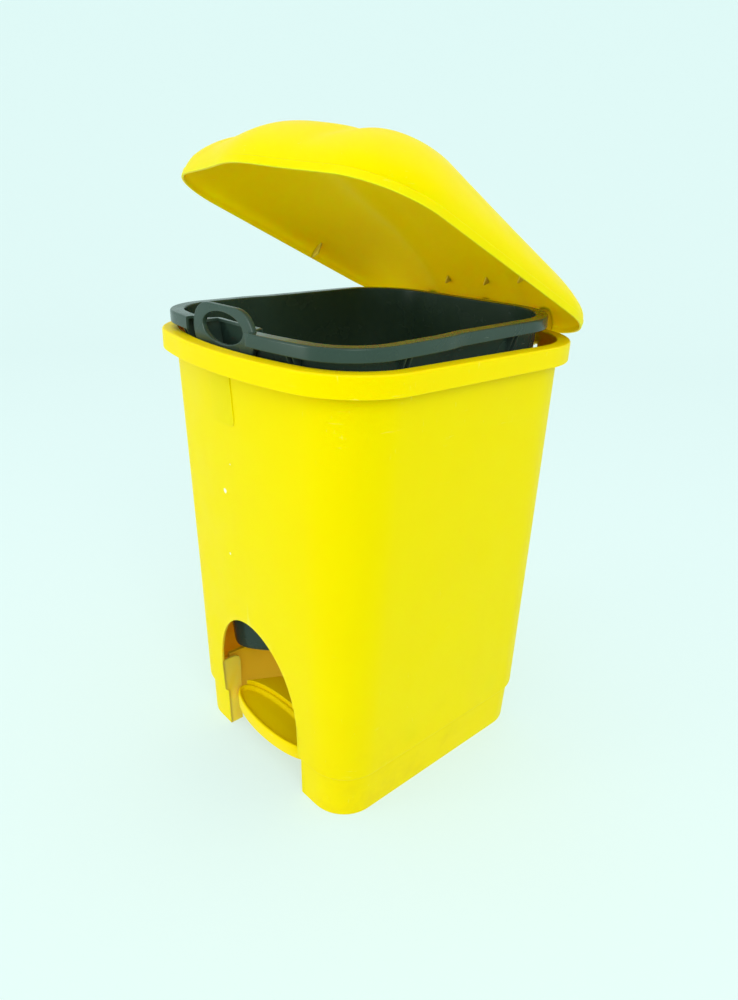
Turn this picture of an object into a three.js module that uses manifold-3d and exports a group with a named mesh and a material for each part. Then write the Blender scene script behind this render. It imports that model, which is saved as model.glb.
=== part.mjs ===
// Pedal bin with a lift-out inner bucket. Millimetres, +Z up, front towards -Y, right side towards +X.
// The lid stands part open, and the pedal and push rod stand where that opening puts them.
import * as THREE from 'three';
import { mergeVertices } from 'three/addons/utils/BufferGeometryUtils.js';
import Module from 'manifold-3d';

const wasm = await Module();
wasm.setup();

// ---- Driving dimensions ----
const frameShift = 14; // moves the bin along Y so that its whole box is centred on the origin
const clearance = 0.3; // gap kept between separate pieces that touch

// Outer body: outlines at its levels (see outline()), wall and turned-down collar.
const collarTop = 425;
const collarDrop = 17.5;
const collarReach = 10.2;
const wall = 2.3;
const bodyTop = { width: 270.1, front: -175.1, rear: 136.1, frontRadius: 61.5, rearRadius: 73, bow: 28.2 };
const bodyFoot = { width: 251, front: -147.7, rear: 128.4, frontRadius: 41, rearRadius: 46, bow: 1.5 };
const stepHeight = 47;
const stepBevel = 3;
const plinthInset = 3.5;
const plinthDraft = 1.5;

// Pedal arch in the front wall, and the side cheeks that line its lower part.
const archHalf = 64.3;
const archSpring = 79;
const archApex = 163.5;
const cheekBack = -127.5;
const cheekTop = 84;
const cheekCut = { along: 6, down: 8 };

// Raised blank label tab below the collar.
const tabHalf = 15.5;
const tabBottom = 362;
const tabRaise = 1;
const tabCorner = 5;
const tabCentre = -4;
const tabUnder = 2; // how far its top runs up behind the collar

// Hinge at the rear collar.
const hingeY = 140;
const hingeZ = 416;
const hingePinRadius = 2;
const hingeLugX = 75;
const hingeLugWidth = 11;
const hingeWebWidth = 7;
const hingeSlot = { front: 8, rear: 20, down: 10, armDown: 16 };
const lugEyeRadius = 6.5;
const lugGap = 0.7;

// Lid: rim outline, dome and opening.
const lidOpening = THREE.MathUtils.degToRad(23.5);
const lidSwing = THREE.MathUtils.degToRad(73.5);
const lidRim = { width: 290.6, front: -182.4, rear: 151.9, frontRadius: 62, rearRadius: 80, bow: 21 };
const lidWall = 2.2;
const lidSeat = collarTop + 0.4;
const lidBand = 6.8;
const domeHeight = 56;
const domePlanPower = 2.46;
const domeRisePower = 1.51;
const domeCentreY = -8.7;
const domeLean = 0.35;
const domeLeanSpan = 145;
const noseReach = 7.3;
const noseSpread = 38.1;
const noseFade = 116;
const grooveX = 57.8;
const grooveDepth = 3.9;
const grooveSpread = 13.5;
const grooveFade = 0.15;

// Lift arm on the lid and the push rod that moves it.
const liftArmWidth = 8;
const liftArmGap = 1.2;
const liftArmHalf = 6.5;
const liftSlot = { inner: 11.5, outer: 20, halfWidth: 3 };
const liftArmReach = 23;
const rodRadius = 2;
const rodX = -9;
const rodTopOffsetY = -14;
const rodLiftPerRadian = 15.3;
const rodFootY = 114;
const rodLegEnd = 8.5;
const rodFootClearance = 1.1;
const rodClipRadius = 5;
const rodClipWidth = 2;
const guideHeights = [150, 310];

// Pedal lever.
const pivotY = -3;
const pivotZ = 40;
const pivotPinRadius = 3;
const pivotPinHalf = 33;
const hubRadius = 9;
const hubHalf = 20;
const padCentreY = -128;
const padHalfX = 62.8;
const padHalfY = 20;
const padSegments = 24;
const padSeam = 0.4; // step between the lip's outer edge and the web's front
const padTop = 45;
const padBottom = 30;
const padLip = 3;
const dishDepth = 4.5;
const webTop = 50;
const webBottom = 42;
const webRear = -50;
const webFrontHalf = 61;
const armHalf = 17;
const armTop = 47;
const armFront = -110;
const armRear = 96;
const armRibBottom = 33;
const armRib = 2.5;
const tailTab = { half: 4, margin: 5.5, halfHeight: 6 };

// Base frame that carries the bucket and the pedal's bearings.
const shelfTop = 83.6;
const shelfThickness = 4;
const shelfFront = -92;
const shelfRear = 104;
const shelfHalf = 98;
const legX = 78;
const legHalf = 2;
const legFront = -134;
const legRear = 90;
const legBottom = 0.5;
const bearing = { inner: 22, outer: 32, halfY: 13, capBottom: 30, screwY: 8.5 };
const earY = [-60, 60];
const earHalf = 9;
const earInner = 90;
const bossTop = shelfTop - shelfThickness - clearance;
const bossBottom = 58;
const bossInner = 101;
const bossHalf = 7;
const baseScrewX = 110;
const screwRadius = 1.5;
const screwHead = 3.2;
const screwHeadHeight = 2;

// Inner bucket, drawn about its rim and then set down turned and tipped a little.
const bucketRimZ = 444.5;
const bucketTilt = THREE.MathUtils.degToRad(1.2);
const bucketYaw = THREE.MathUtils.degToRad(1.4);
const bucketDepth = 356;
const bucketWall = 2.2;
const flange = { width: 262.6, front: -174.6, rear: 121.2, frontRadius: 55, rearRadius: 67, bow: 17 };
const flangeReach = 9;
const flangeLip = 10.5;
const bucketFoot = { width: 212, front: -131, rear: 96, frontRadius: 34, rearRadius: 42, bow: 3 };
const bottomRound = 7;
const sideJog = 3.4;
const jogY = -52;
const jogBlend = 4;
const jogFullX = 60;
const gusset = { depth: 24, thickness: 1.6, sideYs: [-104, -98, 30, 36], frontXs: [69, 75] };
const recessDepth = 13;
const recessHalf = 36;
const recessBlend = 7;
const recessInset = 8;
const lipTie = { half: 2.5, inset: 1.4, drop: 0.4 }; // joins the finger loop to the lip on its right
const recessFloor = -44;
const toeRecess = { depth: 46, half: 80, flatHalf: 8 };
const toeFade = [[-296, 1], [-284, 0.84], [-262, 0.16], [-250, 0]]; // height below the rim, share
const handle = {
  centre: -10, front: -168.4, thickness: 4.6, halfWidth: 43, taper: 9, shoulder: 22, apex: 15, drop: -24,
  holeHalf: 28, holeTop: 9.5, holeBottom: -15, lipGap: 6,
};

// ---- Outlines, lofts and solids ----
const bowSteps = 14;
const cornerSteps = 8;
const sideSteps = 5;
const rearSteps = 4;

/** Radius of an arc that rises by bow over a half chord. */
function radiusOfBow(half, bow) {
  return (half * half + bow * bow) / (2 * bow);
}

/** Closed ring of points, front centre first and counter-clockwise from above: a bowed front between
 * rounded corners, straight sides and a straight rear. grow moves every side outwards. */
function outline(o, grow = 0) {
  const half = o.width / 2 + grow;
  const front = o.front - grow;
  const rear = o.rear + grow;
  const frontRadius = o.frontRadius + grow;
  const rearRadius = o.rearRadius + grow;
  const bowRadius = radiusOfBow(half, o.bow);
  const bowCentre = front + bowRadius;
  const cornerX = half - frontRadius;
  const cornerY = bowCentre - Math.sqrt((bowRadius - frontRadius) ** 2 - cornerX ** 2);
  const bowAngle = Math.asin(cornerX / (bowRadius - frontRadius));
  const right = [];
  for (let i = 0; i < bowSteps; i++) {
    const angle = (bowAngle * i) / bowSteps;
    right.push(new THREE.Vector2(bowRadius * Math.sin(angle), bowCentre - bowRadius * Math.cos(angle)));
  }
  for (let i = 0; i <= cornerSteps; i++) {
    const angle = THREE.MathUtils.lerp(bowAngle, Math.PI / 2, i / cornerSteps);
    const x = cornerX + frontRadius * Math.sin(angle);
    right.push(new THREE.Vector2(x, cornerY - frontRadius * Math.cos(angle)));
  }
  for (let i = 1; i < sideSteps; i++) {
    right.push(new THREE.Vector2(half, THREE.MathUtils.lerp(cornerY, rear - rearRadius, i / sideSteps)));
  }
  for (let i = 0; i <= cornerSteps; i++) {
    const angle = ((Math.PI / 2) * i) / cornerSteps;
    const x = half - rearRadius + rearRadius * Math.cos(angle);
    right.push(new THREE.Vector2(x, rear - rearRadius + rearRadius * Math.sin(angle)));
  }
  for (let i = 1; i <= rearSteps; i++) {
    right.push(new THREE.Vector2((half - rearRadius) * (1 - i / rearSteps), rear));
  }
  const left = right.slice(1, -1).reverse().map((p) => new THREE.Vector2(-p.x, p.y));
  return [...right, ...left];
}

/** Outline between two others, at fraction t. */
function between(a, b, t) {
  const mixed = {};
  for (const key of Object.keys(a)) {
    mixed[key] = THREE.MathUtils.lerp(a[key], b[key], t);
  }
  return mixed;
}

/** Ring of 3-D points from flat points at a height, or at a height given for each point. */
function ring(points, height) {
  return points.map((p) => new THREE.Vector3(p.x, p.y, typeof height === 'function' ? height(p) : height));
}

/** Skin through equal rings. A closed loft joins its last ring to its first; another gets end caps. */
function loft(rings, closed) {
  const count = rings[0].length;
  const positions = rings.flat().flatMap((p) => [p.x, p.y, p.z]);
  const index = [];
  const bands = closed ? rings.length : rings.length - 1;
  for (let band = 0; band < bands; band++) {
    const low = band * count;
    const high = ((band + 1) % rings.length) * count;
    for (let i = 0; i < count; i++) {
      const next = (i + 1) % count;
      index.push(low + i, low + next, high + next, low + i, high + next, high + i);
    }
  }
  if (!closed) {
    for (const end of [0, rings.length - 1]) {
      const centre = new THREE.Vector3();
      rings[end].forEach((p) => centre.addScaledVector(p, 1 / count));
      const hub = positions.length / 3;
      positions.push(centre.x, centre.y, centre.z);
      for (let i = 0; i < count; i++) {
        const here = end * count + i;
        const next = end * count + ((i + 1) % count);
        index.push(hub, end === 0 ? next : here, end === 0 ? here : next);
      }
    }
  }
  const geometry = new THREE.BufferGeometry();
  geometry.setAttribute('position', new THREE.Float32BufferAttribute(positions, 3));
  geometry.setIndex(index);
  return geometry;
}

/** Solid from a closed geometry. */
function solid(geometry) {
  const plain = geometry.clone();
  plain.deleteAttribute('normal');
  plain.deleteAttribute('uv');
  const merged = mergeVertices(plain, 1e-4);
  const vertProperties = new Float32Array(merged.attributes.position.array);
  const triVerts = new Uint32Array(merged.index.array);
  return new wasm.Manifold(new wasm.Mesh({ numProp: 3, vertProperties, triVerts }));
}

/** Geometry from a solid. */
function geometryOf(body) {
  const mesh = body.getMesh();
  const geometry = new THREE.BufferGeometry();
  geometry.setAttribute('position', new THREE.Float32BufferAttribute(mesh.vertProperties, 3));
  geometry.setIndex(new THREE.Uint32BufferAttribute(mesh.triVerts, 1));
  return geometry;
}

function join(parts) {
  return parts.reduce((whole, part) => whole.add(part));
}

function cut(body, cutters) {
  return cutters.reduce((whole, cutter) => whole.subtract(cutter), body);
}

function block(x0, x1, y0, y1, z0, z1) {
  const box = new THREE.BoxGeometry(x1 - x0, y1 - y0, z1 - z0);
  return solid(box.translate((x0 + x1) / 2, (y0 + y1) / 2, (z0 + z1) / 2));
}

function barAlongX(radius, x0, x1, y, z, segments = 24) {
  const bar = new THREE.CylinderGeometry(radius, radius, x1 - x0, segments).rotateZ(Math.PI / 2);
  return solid(bar.translate((x0 + x1) / 2, y, z));
}

function barAlongZ(radius, x, y, z0, z1, segments = 20) {
  const bar = new THREE.CylinderGeometry(radius, radius, z1 - z0, segments).rotateX(Math.PI / 2);
  return solid(bar.translate(x, y, (z0 + z1) / 2));
}

/** Prism of a shape drawn in (y, z), from x0 to x1. */
function prismAlongX(shape, x0, x1, curveSegments = 12) {
  const prism = new THREE.ExtrudeGeometry(shape, { depth: x1 - x0, bevelEnabled: false, curveSegments });
  const turn = new THREE.Matrix4().makeBasis(
    new THREE.Vector3(0, 1, 0), new THREE.Vector3(0, 0, 1), new THREE.Vector3(1, 0, 0));
  return solid(prism.applyMatrix4(turn).translate(x0, 0, 0));
}

/** Prism of a shape drawn in (x, z), from y0 to y1. */
function prismAlongY(shape, y0, y1, curveSegments = 16) {
  const prism = new THREE.ExtrudeGeometry(shape, { depth: y1 - y0, bevelEnabled: false, curveSegments });
  return solid(prism.rotateX(Math.PI / 2).translate(0, y1, 0));
}

/** Prism of a shape drawn in (x, y), from z0 to z1. */
function prismAlongZ(shape, z0, z1, curveSegments = 16) {
  const prism = new THREE.ExtrudeGeometry(shape, { depth: z1 - z0, bevelEnabled: false, curveSegments });
  return solid(prism.translate(0, 0, z0));
}

function polygon(points) {
  return new THREE.Shape(points.map(([x, y]) => new THREE.Vector2(x, y)));
}

// ---- Outer body ----
/** Outline of the body's outside wall at a height above the step. */
function bodyAt(height) {
  return between(bodyFoot, bodyTop, (height - stepHeight) / (collarTop - stepHeight));
}

function bodyShell() {
  const levels = [0, 0.2, 0.4, 0.6, 0.8].map((t) => THREE.MathUtils.lerp(stepHeight, collarTop, t));
  const deckUnder = collarTop - wall;
  const skirtBottom = collarTop - collarDrop;
  const bevel = 1.4;
  const rings = [
    ring(outline(bodyFoot, -plinthInset - plinthDraft), 0),
    ring(outline(bodyFoot, -plinthInset), stepHeight - stepBevel),
    ...levels.map((z) => ring(outline(bodyAt(z)), z)),
    ring(outline(bodyTop), deckUnder),
    ring(outline(bodyTop, collarReach - wall), deckUnder),
    ring(outline(bodyTop, collarReach - wall), skirtBottom),
    ring(outline(bodyTop, collarReach), skirtBottom),
    ring(outline(bodyTop, collarReach), collarTop - bevel),
    ring(outline(bodyTop, collarReach - bevel), collarTop),
    ring(outline(bodyTop, 1 - wall), collarTop),
    ring(outline(bodyTop, -wall), collarTop - 1),
    ...levels.toReversed().map((z) => ring(outline(bodyAt(z), -wall), z)),
    ring(outline(bodyFoot, -plinthInset - wall), stepHeight - stepBevel),
    ring(outline(bodyFoot, -plinthInset - plinthDraft - wall), 0),
  ];
  return solid(loft(rings, true));
}

/** Arch opening with upright jambs and an elliptical head. */
function archShape() {
  const shape = new THREE.Shape();
  shape.moveTo(-archHalf, -5);
  shape.lineTo(archHalf, -5);
  shape.lineTo(archHalf, archSpring);
  shape.absellipse(0, archSpring, archHalf, archApex - archSpring, 0, Math.PI, false);
  shape.lineTo(-archHalf, -5);
  return shape;
}

/** Cheeks that line the lower part of the arch's two jambs. */
function archCheeks() {
  const inWall = wall / 2;
  const low = bodyFoot.front + plinthInset + plinthDraft + inWall;
  const side = polygon([
    [low, 0], [cheekBack, 0], [cheekBack, cheekTop - cheekCut.down],
    [cheekBack - cheekCut.along, cheekTop],
    [bodyAt(cheekTop).front + inWall, cheekTop], [bodyFoot.front + inWall, stepHeight],
    [low - plinthDraft, stepHeight - stepBevel],
  ]);
  return [prismAlongX(side, archHalf, archHalf + wall), prismAlongX(side, -archHalf - wall, -archHalf)];
}

/** Blank raised tab on the front wall, with rounded lower corners. */
function labelTab() {
  const radius = tabCorner;
  const top = collarTop - collarDrop + tabUnder;
  const shape = new THREE.Shape();
  shape.moveTo(-tabHalf, top);
  shape.lineTo(-tabHalf, tabBottom + radius);
  shape.quadraticCurveTo(-tabHalf, tabBottom, -tabHalf + radius, tabBottom);
  shape.lineTo(tabHalf - radius, tabBottom);
  shape.quadraticCurveTo(tabHalf, tabBottom, tabHalf, tabBottom + radius);
  shape.lineTo(tabHalf, top);
  const skin = (low, high, grow) =>
    solid(loft([ring(outline(bodyAt(low), grow), low), ring(outline(bodyAt(high), grow), high)], false));
  const proud = skin(tabBottom - 10, collarTop, tabRaise);
  const core = skin(tabBottom - 11, collarTop + 1, -1);
  const slab = prismAlongY(shape, bodyTop.front - 10, bodyTop.front + 14).translate([tabCentre, 0, 0]);
  return slab.intersect(proud.subtract(core));
}

/** Y of the push rod's centre line at a height: it leans with the rear wall. */
function rodYAt(z) {
  const top = rodTop();
  return THREE.MathUtils.mapLinear(z, pivotZ, top.z, rodFootY, top.y);
}

function rodTop() {
  const fromMiddle = lidOpening - lidSwing / 2;
  return { y: hingeY + rodTopOffsetY, z: hingeZ + rodLiftPerRadian * fromMiddle };
}

/** Moulded snap guides that hold the push rod against the rear wall, each open towards the front. */
function rodGuides() {
  const guideHalf = 6.5;
  const guideHeight = 10;
  const bore = rodRadius + 0.9;
  return guideHeights.map((z) => {
    const y = rodYAt(z + guideHeight / 2);
    const back = bodyAt(z).rear - wall / 2;
    const holder = block(rodX - guideHalf, rodX + guideHalf, y - 3, back, z, z + guideHeight);
    return cut(holder, [
      barAlongZ(bore, rodX, y, z - 1, z + guideHeight + 1),
      block(rodX - rodRadius + 0.2, rodX + rodRadius - 0.2, y - 5, y, z - 1, z + guideHeight + 1),
    ]);
  });
}

function outerBody() {
  const skirtInside = bodyTop.rear + collarReach - wall / 2;
  const slotFront = bodyTop.rear - hingeSlot.front;
  const slotRear = bodyTop.rear + hingeSlot.rear;
  const extras = [...archCheeks(), labelTab(), ...rodGuides()];
  const cutters = [];
  for (const side of [-1, 1]) {
    const lug = side * hingeLugX;
    const gap = hingeLugWidth / 2 + lugGap;
    for (const edge of [-1, 1]) {
      const near = lug + edge * gap;
      const far = near + edge * hingeWebWidth;
      extras.push(block(Math.min(near, far), Math.max(near, far), bodyTop.rear - wall / 2, skirtInside,
        collarTop - collarDrop + 0.5, collarTop - 1));
    }
    cutters.push(block(lug - gap, lug + gap, slotFront, slotRear, hingeZ - hingeSlot.down, collarTop + 5));
    const pinReach = gap + hingeWebWidth + 1;
    cutters.push(barAlongX(hingePinRadius + clearance, lug - pinReach, lug + pinReach, hingeY, hingeZ));
    for (const y of earY) {
      const outer = bodyAt(bossTop).width / 2 - wall / 2;
      const x0 = side > 0 ? bossInner : -outer;
      const x1 = side > 0 ? outer : -bossInner;
      extras.push(block(x0, x1, y - bossHalf, y + bossHalf, bossBottom, bossTop));
      const bore = screwRadius + clearance;
      cutters.push(barAlongZ(bore, side * baseScrewX, y, bossBottom + 3, bossTop + 5, 12));
    }
  }
  const armGap = liftArmWidth / 2 + liftArmGap;
  cutters.push(block(-armGap, armGap, slotFront, slotRear, hingeZ - hingeSlot.armDown, collarTop + 5));
  const arch = prismAlongY(archShape(), bodyFoot.front - 30, bodyFoot.front + 16);
  return cut(join([cut(bodyShell(), [arch]), ...extras]), cutters);
}

// ---- Base frame, bearings and screws ----
function baseFrame() {
  const underShelf = shelfTop - shelfThickness;
  const parts = [block(-shelfHalf, shelfHalf, shelfFront, shelfRear, underShelf, shelfTop)];
  const boreHalf = bearing.outer + 8;
  const cutters = [barAlongX(pivotPinRadius + clearance, -boreHalf, boreHalf, pivotY, pivotZ)];
  for (const side of [-1, 1]) {
    const leg = side * legX;
    parts.push(block(leg - legHalf, leg + legHalf, legFront, legRear, legBottom, underShelf + 1));
    const x0 = side > 0 ? bearing.inner : -bearing.outer;
    const x1 = side > 0 ? bearing.outer : -bearing.inner;
    parts.push(block(x0, x1, pivotY - bearing.halfY, pivotY + bearing.halfY, pivotZ, underShelf + 1));
    for (const y of earY) {
      const outer = baseScrewX + earHalf;
      const ear0 = side > 0 ? earInner : -outer;
      const ear1 = side > 0 ? outer : -earInner;
      parts.push(block(ear0, ear1, y - earHalf, y + earHalf, underShelf, shelfTop));
      const bore = screwRadius + clearance;
      cutters.push(barAlongZ(bore, side * baseScrewX, y, underShelf - 1, shelfTop + 1, 12));
    }
    for (const y of capScrewYs()) {
      cutters.push(barAlongZ(screwRadius + clearance, side * bearingX(), y, pivotZ - 1, pivotZ + 11, 12));
    }
  }
  return cut(join(parts), cutters);
}

function bearingX() {
  return (bearing.inner + bearing.outer) / 2;
}

function capScrewYs() {
  return [pivotY - bearing.screwY, pivotY + bearing.screwY];
}

function pivotCap(side) {
  const x0 = side > 0 ? bearing.inner : -bearing.outer;
  const x1 = side > 0 ? bearing.outer : -bearing.inner;
  const top = pivotZ - clearance;
  const body = block(x0, x1, pivotY - bearing.halfY, pivotY + bearing.halfY, bearing.capBottom, top);
  const bores = capScrewYs().map((y) =>
    barAlongZ(screwRadius + clearance, side * bearingX(), y, bearing.capBottom - 1, top + 1, 12));
  return cut(body, [barAlongX(pivotPinRadius + clearance, x0 - 1, x1 + 1, pivotY, pivotZ), ...bores]);
}

/** Pan-head screw with its head at z = 0 upwards and its shank below. */
function screwGeometry(shankLength) {
  const profile = [
    new THREE.Vector2(0, -shankLength), new THREE.Vector2(screwRadius * 0.6, -shankLength),
    new THREE.Vector2(screwRadius, -shankLength + 1.5), new THREE.Vector2(screwRadius, 0),
    new THREE.Vector2(screwHead, 0), new THREE.Vector2(screwHead, screwHeadHeight * 0.55),
    new THREE.Vector2(screwHead * 0.7, screwHeadHeight), new THREE.Vector2(0, screwHeadHeight),
  ];
  return new THREE.LatheGeometry(profile, 12).rotateX(Math.PI / 2);
}

// ---- Lid ----
/** Outline of the lid at a fraction s of its rim, with the finger nose at the front centre. */
function lidOutline(s, grow) {
  return outline(lidRim, grow).map((p) => {
    const fade = THREE.MathUtils.clamp(-p.y / noseFade, 0, 1);
    const nose = noseReach * Math.exp(-((p.x / noseSpread) ** 2)) * fade;
    return new THREE.Vector2(p.x * s, domeCentreY + (p.y - nose - domeCentreY) * s);
  });
}

/** Height of the dome above the lid's seat, at a fraction s of the rim: three soft lobes. */
function domeAt(s) {
  return (p) => {
    const rise = domeHeight * (1 - s ** domePlanPower) ** (1 / domeRisePower);
    const lean = 1 - (domeLean * p.y) / domeLeanSpan;
    const groove = Math.exp(-(((Math.abs(p.x) - grooveX) / grooveSpread) ** 2));
    const fade = THREE.MathUtils.clamp((1 - s) / grooveFade, 0, 1);
    return lidSeat + lidBand + rise * lean - grooveDepth * groove * fade;
  };
}

const domeSteps = [1, 0.985, 0.96, 0.92, 0.86, 0.78, 0.68, 0.56, 0.42, 0.28, 0.14];

function lidShell() {
  const inner = domeSteps.toReversed().map((s) => {
    const top = domeAt(s);
    return ring(lidOutline(s, -lidWall), (p) => top(p) - lidWall);
  });
  const outer = domeSteps.map((s) => ring(lidOutline(s, 0), domeAt(s)));
  const lip = [-lidWall, 0].map((grow) => ring(lidOutline(1, grow), lidSeat));
  const rings = [...inner, ...lip, ...outer];
  return solid(loft(rings, false));
}

/** Solid that fills the dome to half its skin, used to trim the ribs that join it from inside. */
function domeCore() {
  const rings = domeSteps.map((s) => {
    const top = domeAt(s);
    return ring(lidOutline(s, -lidWall / 2), (p) => top(p) - lidWall / 2);
  });
  return solid(loft([ring(lidOutline(1, -lidWall / 2), collarTop), ...rings], false));
}

/** Hinge lug in (y, z): an eye round the pin and a neck up into the dome. */
function lugShape() {
  const shape = new THREE.Shape();
  const neckTop = collarTop + 40;
  const neckRear = hingeY + 12;
  shape.moveTo(hingeY + lugEyeRadius, hingeZ);
  shape.lineTo(hingeY + lugEyeRadius + 2, collarTop + 2);
  shape.lineTo(neckRear, collarTop + 4);
  shape.lineTo(neckRear, neckTop);
  shape.lineTo(hingeY - lugEyeRadius, neckTop);
  shape.lineTo(hingeY - lugEyeRadius, hingeZ);
  shape.absarc(hingeY, hingeZ, lugEyeRadius, Math.PI, 2 * Math.PI, false);
  return shape;
}

/** Lift arm in (y, z) with the lid shut: a bar that points forwards and down from the hinge. */
function liftArmShape() {
  const angle = -lidSwing / 2;
  const along = new THREE.Vector2(-Math.cos(angle), Math.sin(angle));
  const across = new THREE.Vector2(-along.y, along.x);
  const hinge = new THREE.Vector2(hingeY, hingeZ);
  const at = (r, t) => hinge.clone().addScaledVector(along, r).addScaledVector(across, t);
  const corner = 3;
  const tip = liftArmReach - corner;
  const shape = new THREE.Shape([at(0, -liftArmHalf), at(tip, -liftArmHalf),
    at(liftArmReach, corner - liftArmHalf), at(liftArmReach, liftArmHalf - corner), at(tip, liftArmHalf),
    at(0, liftArmHalf)]);
  const { inner, outer, halfWidth } = liftSlot;
  const nose = halfWidth * 0.6;
  shape.holes.push(new THREE.Path([at(inner + nose, -halfWidth), at(outer - nose, -halfWidth),
    at(outer, nose - halfWidth), at(outer, halfWidth - nose), at(outer - nose, halfWidth),
    at(inner + nose, halfWidth), at(inner, halfWidth - nose), at(inner, nose - halfWidth)]));
  return shape;
}

function lid() {
  const keepHalf = hingeLugX + 20;
  const belowDome = block(-keepHalf, keepHalf, hingeY - 80, hingeY + 40, hingeZ - 40, collarTop + 2);
  const keep = domeCore().add(belowDome);
  const lugs = [];
  for (const x of [-hingeLugX, hingeLugX]) {
    const lug = prismAlongX(lugShape(), x - hingeLugWidth / 2, x + hingeLugWidth / 2);
    const bore = hingePinRadius + clearance;
    const pinHole = barAlongX(bore, x - hingeLugWidth, x + hingeLugWidth, hingeY, hingeZ);
    lugs.push(lug.subtract(pinHole));
  }
  const armNeck = prismAlongX(lugShape(), -liftArmWidth / 2, liftArmWidth / 2);
  const slotted = prismAlongX(liftArmShape(), -liftArmWidth / 2, liftArmWidth / 2);
  lugs.push(armNeck.add(slotted));
  return join([lidShell(), ...lugs.map((lug) => lug.intersect(keep))]);
}

// ---- Pedal ----
function ellipse(halfX, halfY, centreY) {
  const shape = new THREE.Shape();
  shape.absellipse(0, centreY, halfX, halfY, 0, 2 * Math.PI, false);
  return shape;
}

function pedal() {
  const inX = padHalfX - padLip;
  const inY = padHalfY - padLip;
  const pad = prismAlongZ(ellipse(padHalfX, padHalfY, padCentreY), padBottom, padTop, padSegments);
  const seam = ellipse(padHalfX - padSeam, padHalfY - padSeam, padCentreY);
  const overPad = prismAlongZ(seam, padTop, webTop + 5, padSegments);
  const dish = prismAlongZ(ellipse(inX, inY, padCentreY), padTop - dishDepth, padTop + 1, padSegments);
  const under = prismAlongZ(ellipse(inX, inY, padCentreY), padBottom - 1, padTop - dishDepth - padLip,
    padSegments);
  const webRearHalf = armHalf + 5;
  const web = prismAlongZ(polygon([[-webFrontHalf, padCentreY], [webFrontHalf, padCentreY],
    [webRearHalf, webRear], [-webRearHalf, webRear]]), webBottom, webTop);
  const ribFront = armFront + 8;
  const { half: tailHalf, margin, halfHeight } = tailTab;
  const arm = block(-armHalf, armHalf, armFront, armRear, webBottom - 1, armTop);
  const parts = [
    pad, web.subtract(overPad), arm.subtract(overPad),
    block(-armHalf, armRib - armHalf, ribFront, armRear, armRibBottom, armTop),
    block(armHalf - armRib, armHalf, ribFront, armRear, armRibBottom, armTop),
    block(-armHalf, armHalf, armRear - armRib, armRear, armRibBottom, armTop),
    block(-tailHalf, tailHalf, armRear - 2, rodFootY + margin, pivotZ - halfHeight, pivotZ + halfHeight),
    barAlongX(hubRadius, -hubHalf, hubHalf, pivotY, pivotZ),
  ];
  return cut(join(parts), [
    dish, under,
    barAlongX(pivotPinRadius + clearance, -hubHalf - 1, hubHalf + 1, pivotY, pivotZ),
    barAlongX(rodRadius + rodFootClearance, -tailHalf - 1, tailHalf + 1, rodFootY, pivotZ),
  ]);
}

// ---- Push rod ----
function pushRod() {
  const top = rodTop();
  const foot = new THREE.Vector3(rodX, rodFootY, pivotZ);
  const head = new THREE.Vector3(rodX, top.y, top.z);
  const shaft = new THREE.CylinderGeometry(rodRadius, rodRadius, foot.distanceTo(head), 14);
  const lean = new THREE.Quaternion().setFromUnitVectors(new THREE.Vector3(0, 1, 0),
    head.clone().sub(foot).normalize());
  shaft.applyQuaternion(lean);
  const middle = foot.clone().lerp(head, 0.5);
  shaft.translate(middle.x, middle.y, middle.z);
  const parts = [solid(shaft)];
  for (const end of [foot, head]) {
    const bend = new THREE.SphereGeometry(rodRadius * 1.02, 14, 10).translate(end.x, end.y, end.z);
    parts.push(solid(bend), barAlongX(rodRadius, rodX, rodLegEnd, end.y, end.z, 14));
  }
  return join(parts);
}

/** Push-on washer round a leg of the rod, set along X. */
function rodClip() {
  const bore = rodRadius + clearance;
  const profile = [
    new THREE.Vector2(bore, 0), new THREE.Vector2(rodClipRadius, 0),
    new THREE.Vector2(rodClipRadius, rodClipWidth), new THREE.Vector2(bore, rodClipWidth),
    new THREE.Vector2(bore, 0),
  ];
  return new THREE.LatheGeometry(profile, 18).rotateZ(-Math.PI / 2);
}

// ---- Inner bucket ----
/** Share of a front-wall recess at a point: 1 across its middle, 0 outside it. */
function recessAt(p, centre, flatHalf, half) {
  if (p.y > 0) {
    return 0;
  }
  return 1 - THREE.MathUtils.smoothstep(Math.abs(p.x - centre), flatHalf, half);
}

/** Bucket ring: the sides step in behind the jog, and the front wall steps back into the finger recess near
 * the rim and into the toe recess near the foot. */
function bucketRing(shape, grow, z, recess, toe = 0) {
  const points = outline(shape, grow).map((p) => {
    const side = Math.min(1, Math.abs(p.x) / jogFullX);
    const jog = sideJog * THREE.MathUtils.smoothstep(p.y, jogY - jogBlend, jogY + jogBlend) * side;
    const finger = recess * recessDepth * recessAt(p, handle.centre, recessHalf - recessBlend, recessHalf);
    const toeStep = toe * toeRecess.depth * recessAt(p, 0, toeRecess.flatHalf, toeRecess.half);
    return new THREE.Vector2(p.x - Math.sign(p.x) * jog, p.y + finger + toeStep);
  });
  return ring(points, z);
}

/** Outline of the bucket's outside wall at a height below its rim. */
function bucketAt(z) {
  const rim = { ...flange, width: flange.width - 2 * flangeReach, front: flange.front + flangeReach,
    rear: flange.rear - flangeReach, frontRadius: flange.frontRadius - flangeReach,
    rearRadius: flange.rearRadius - flangeReach };
  return between(rim, bucketFoot, -z / bucketDepth);
}

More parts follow.
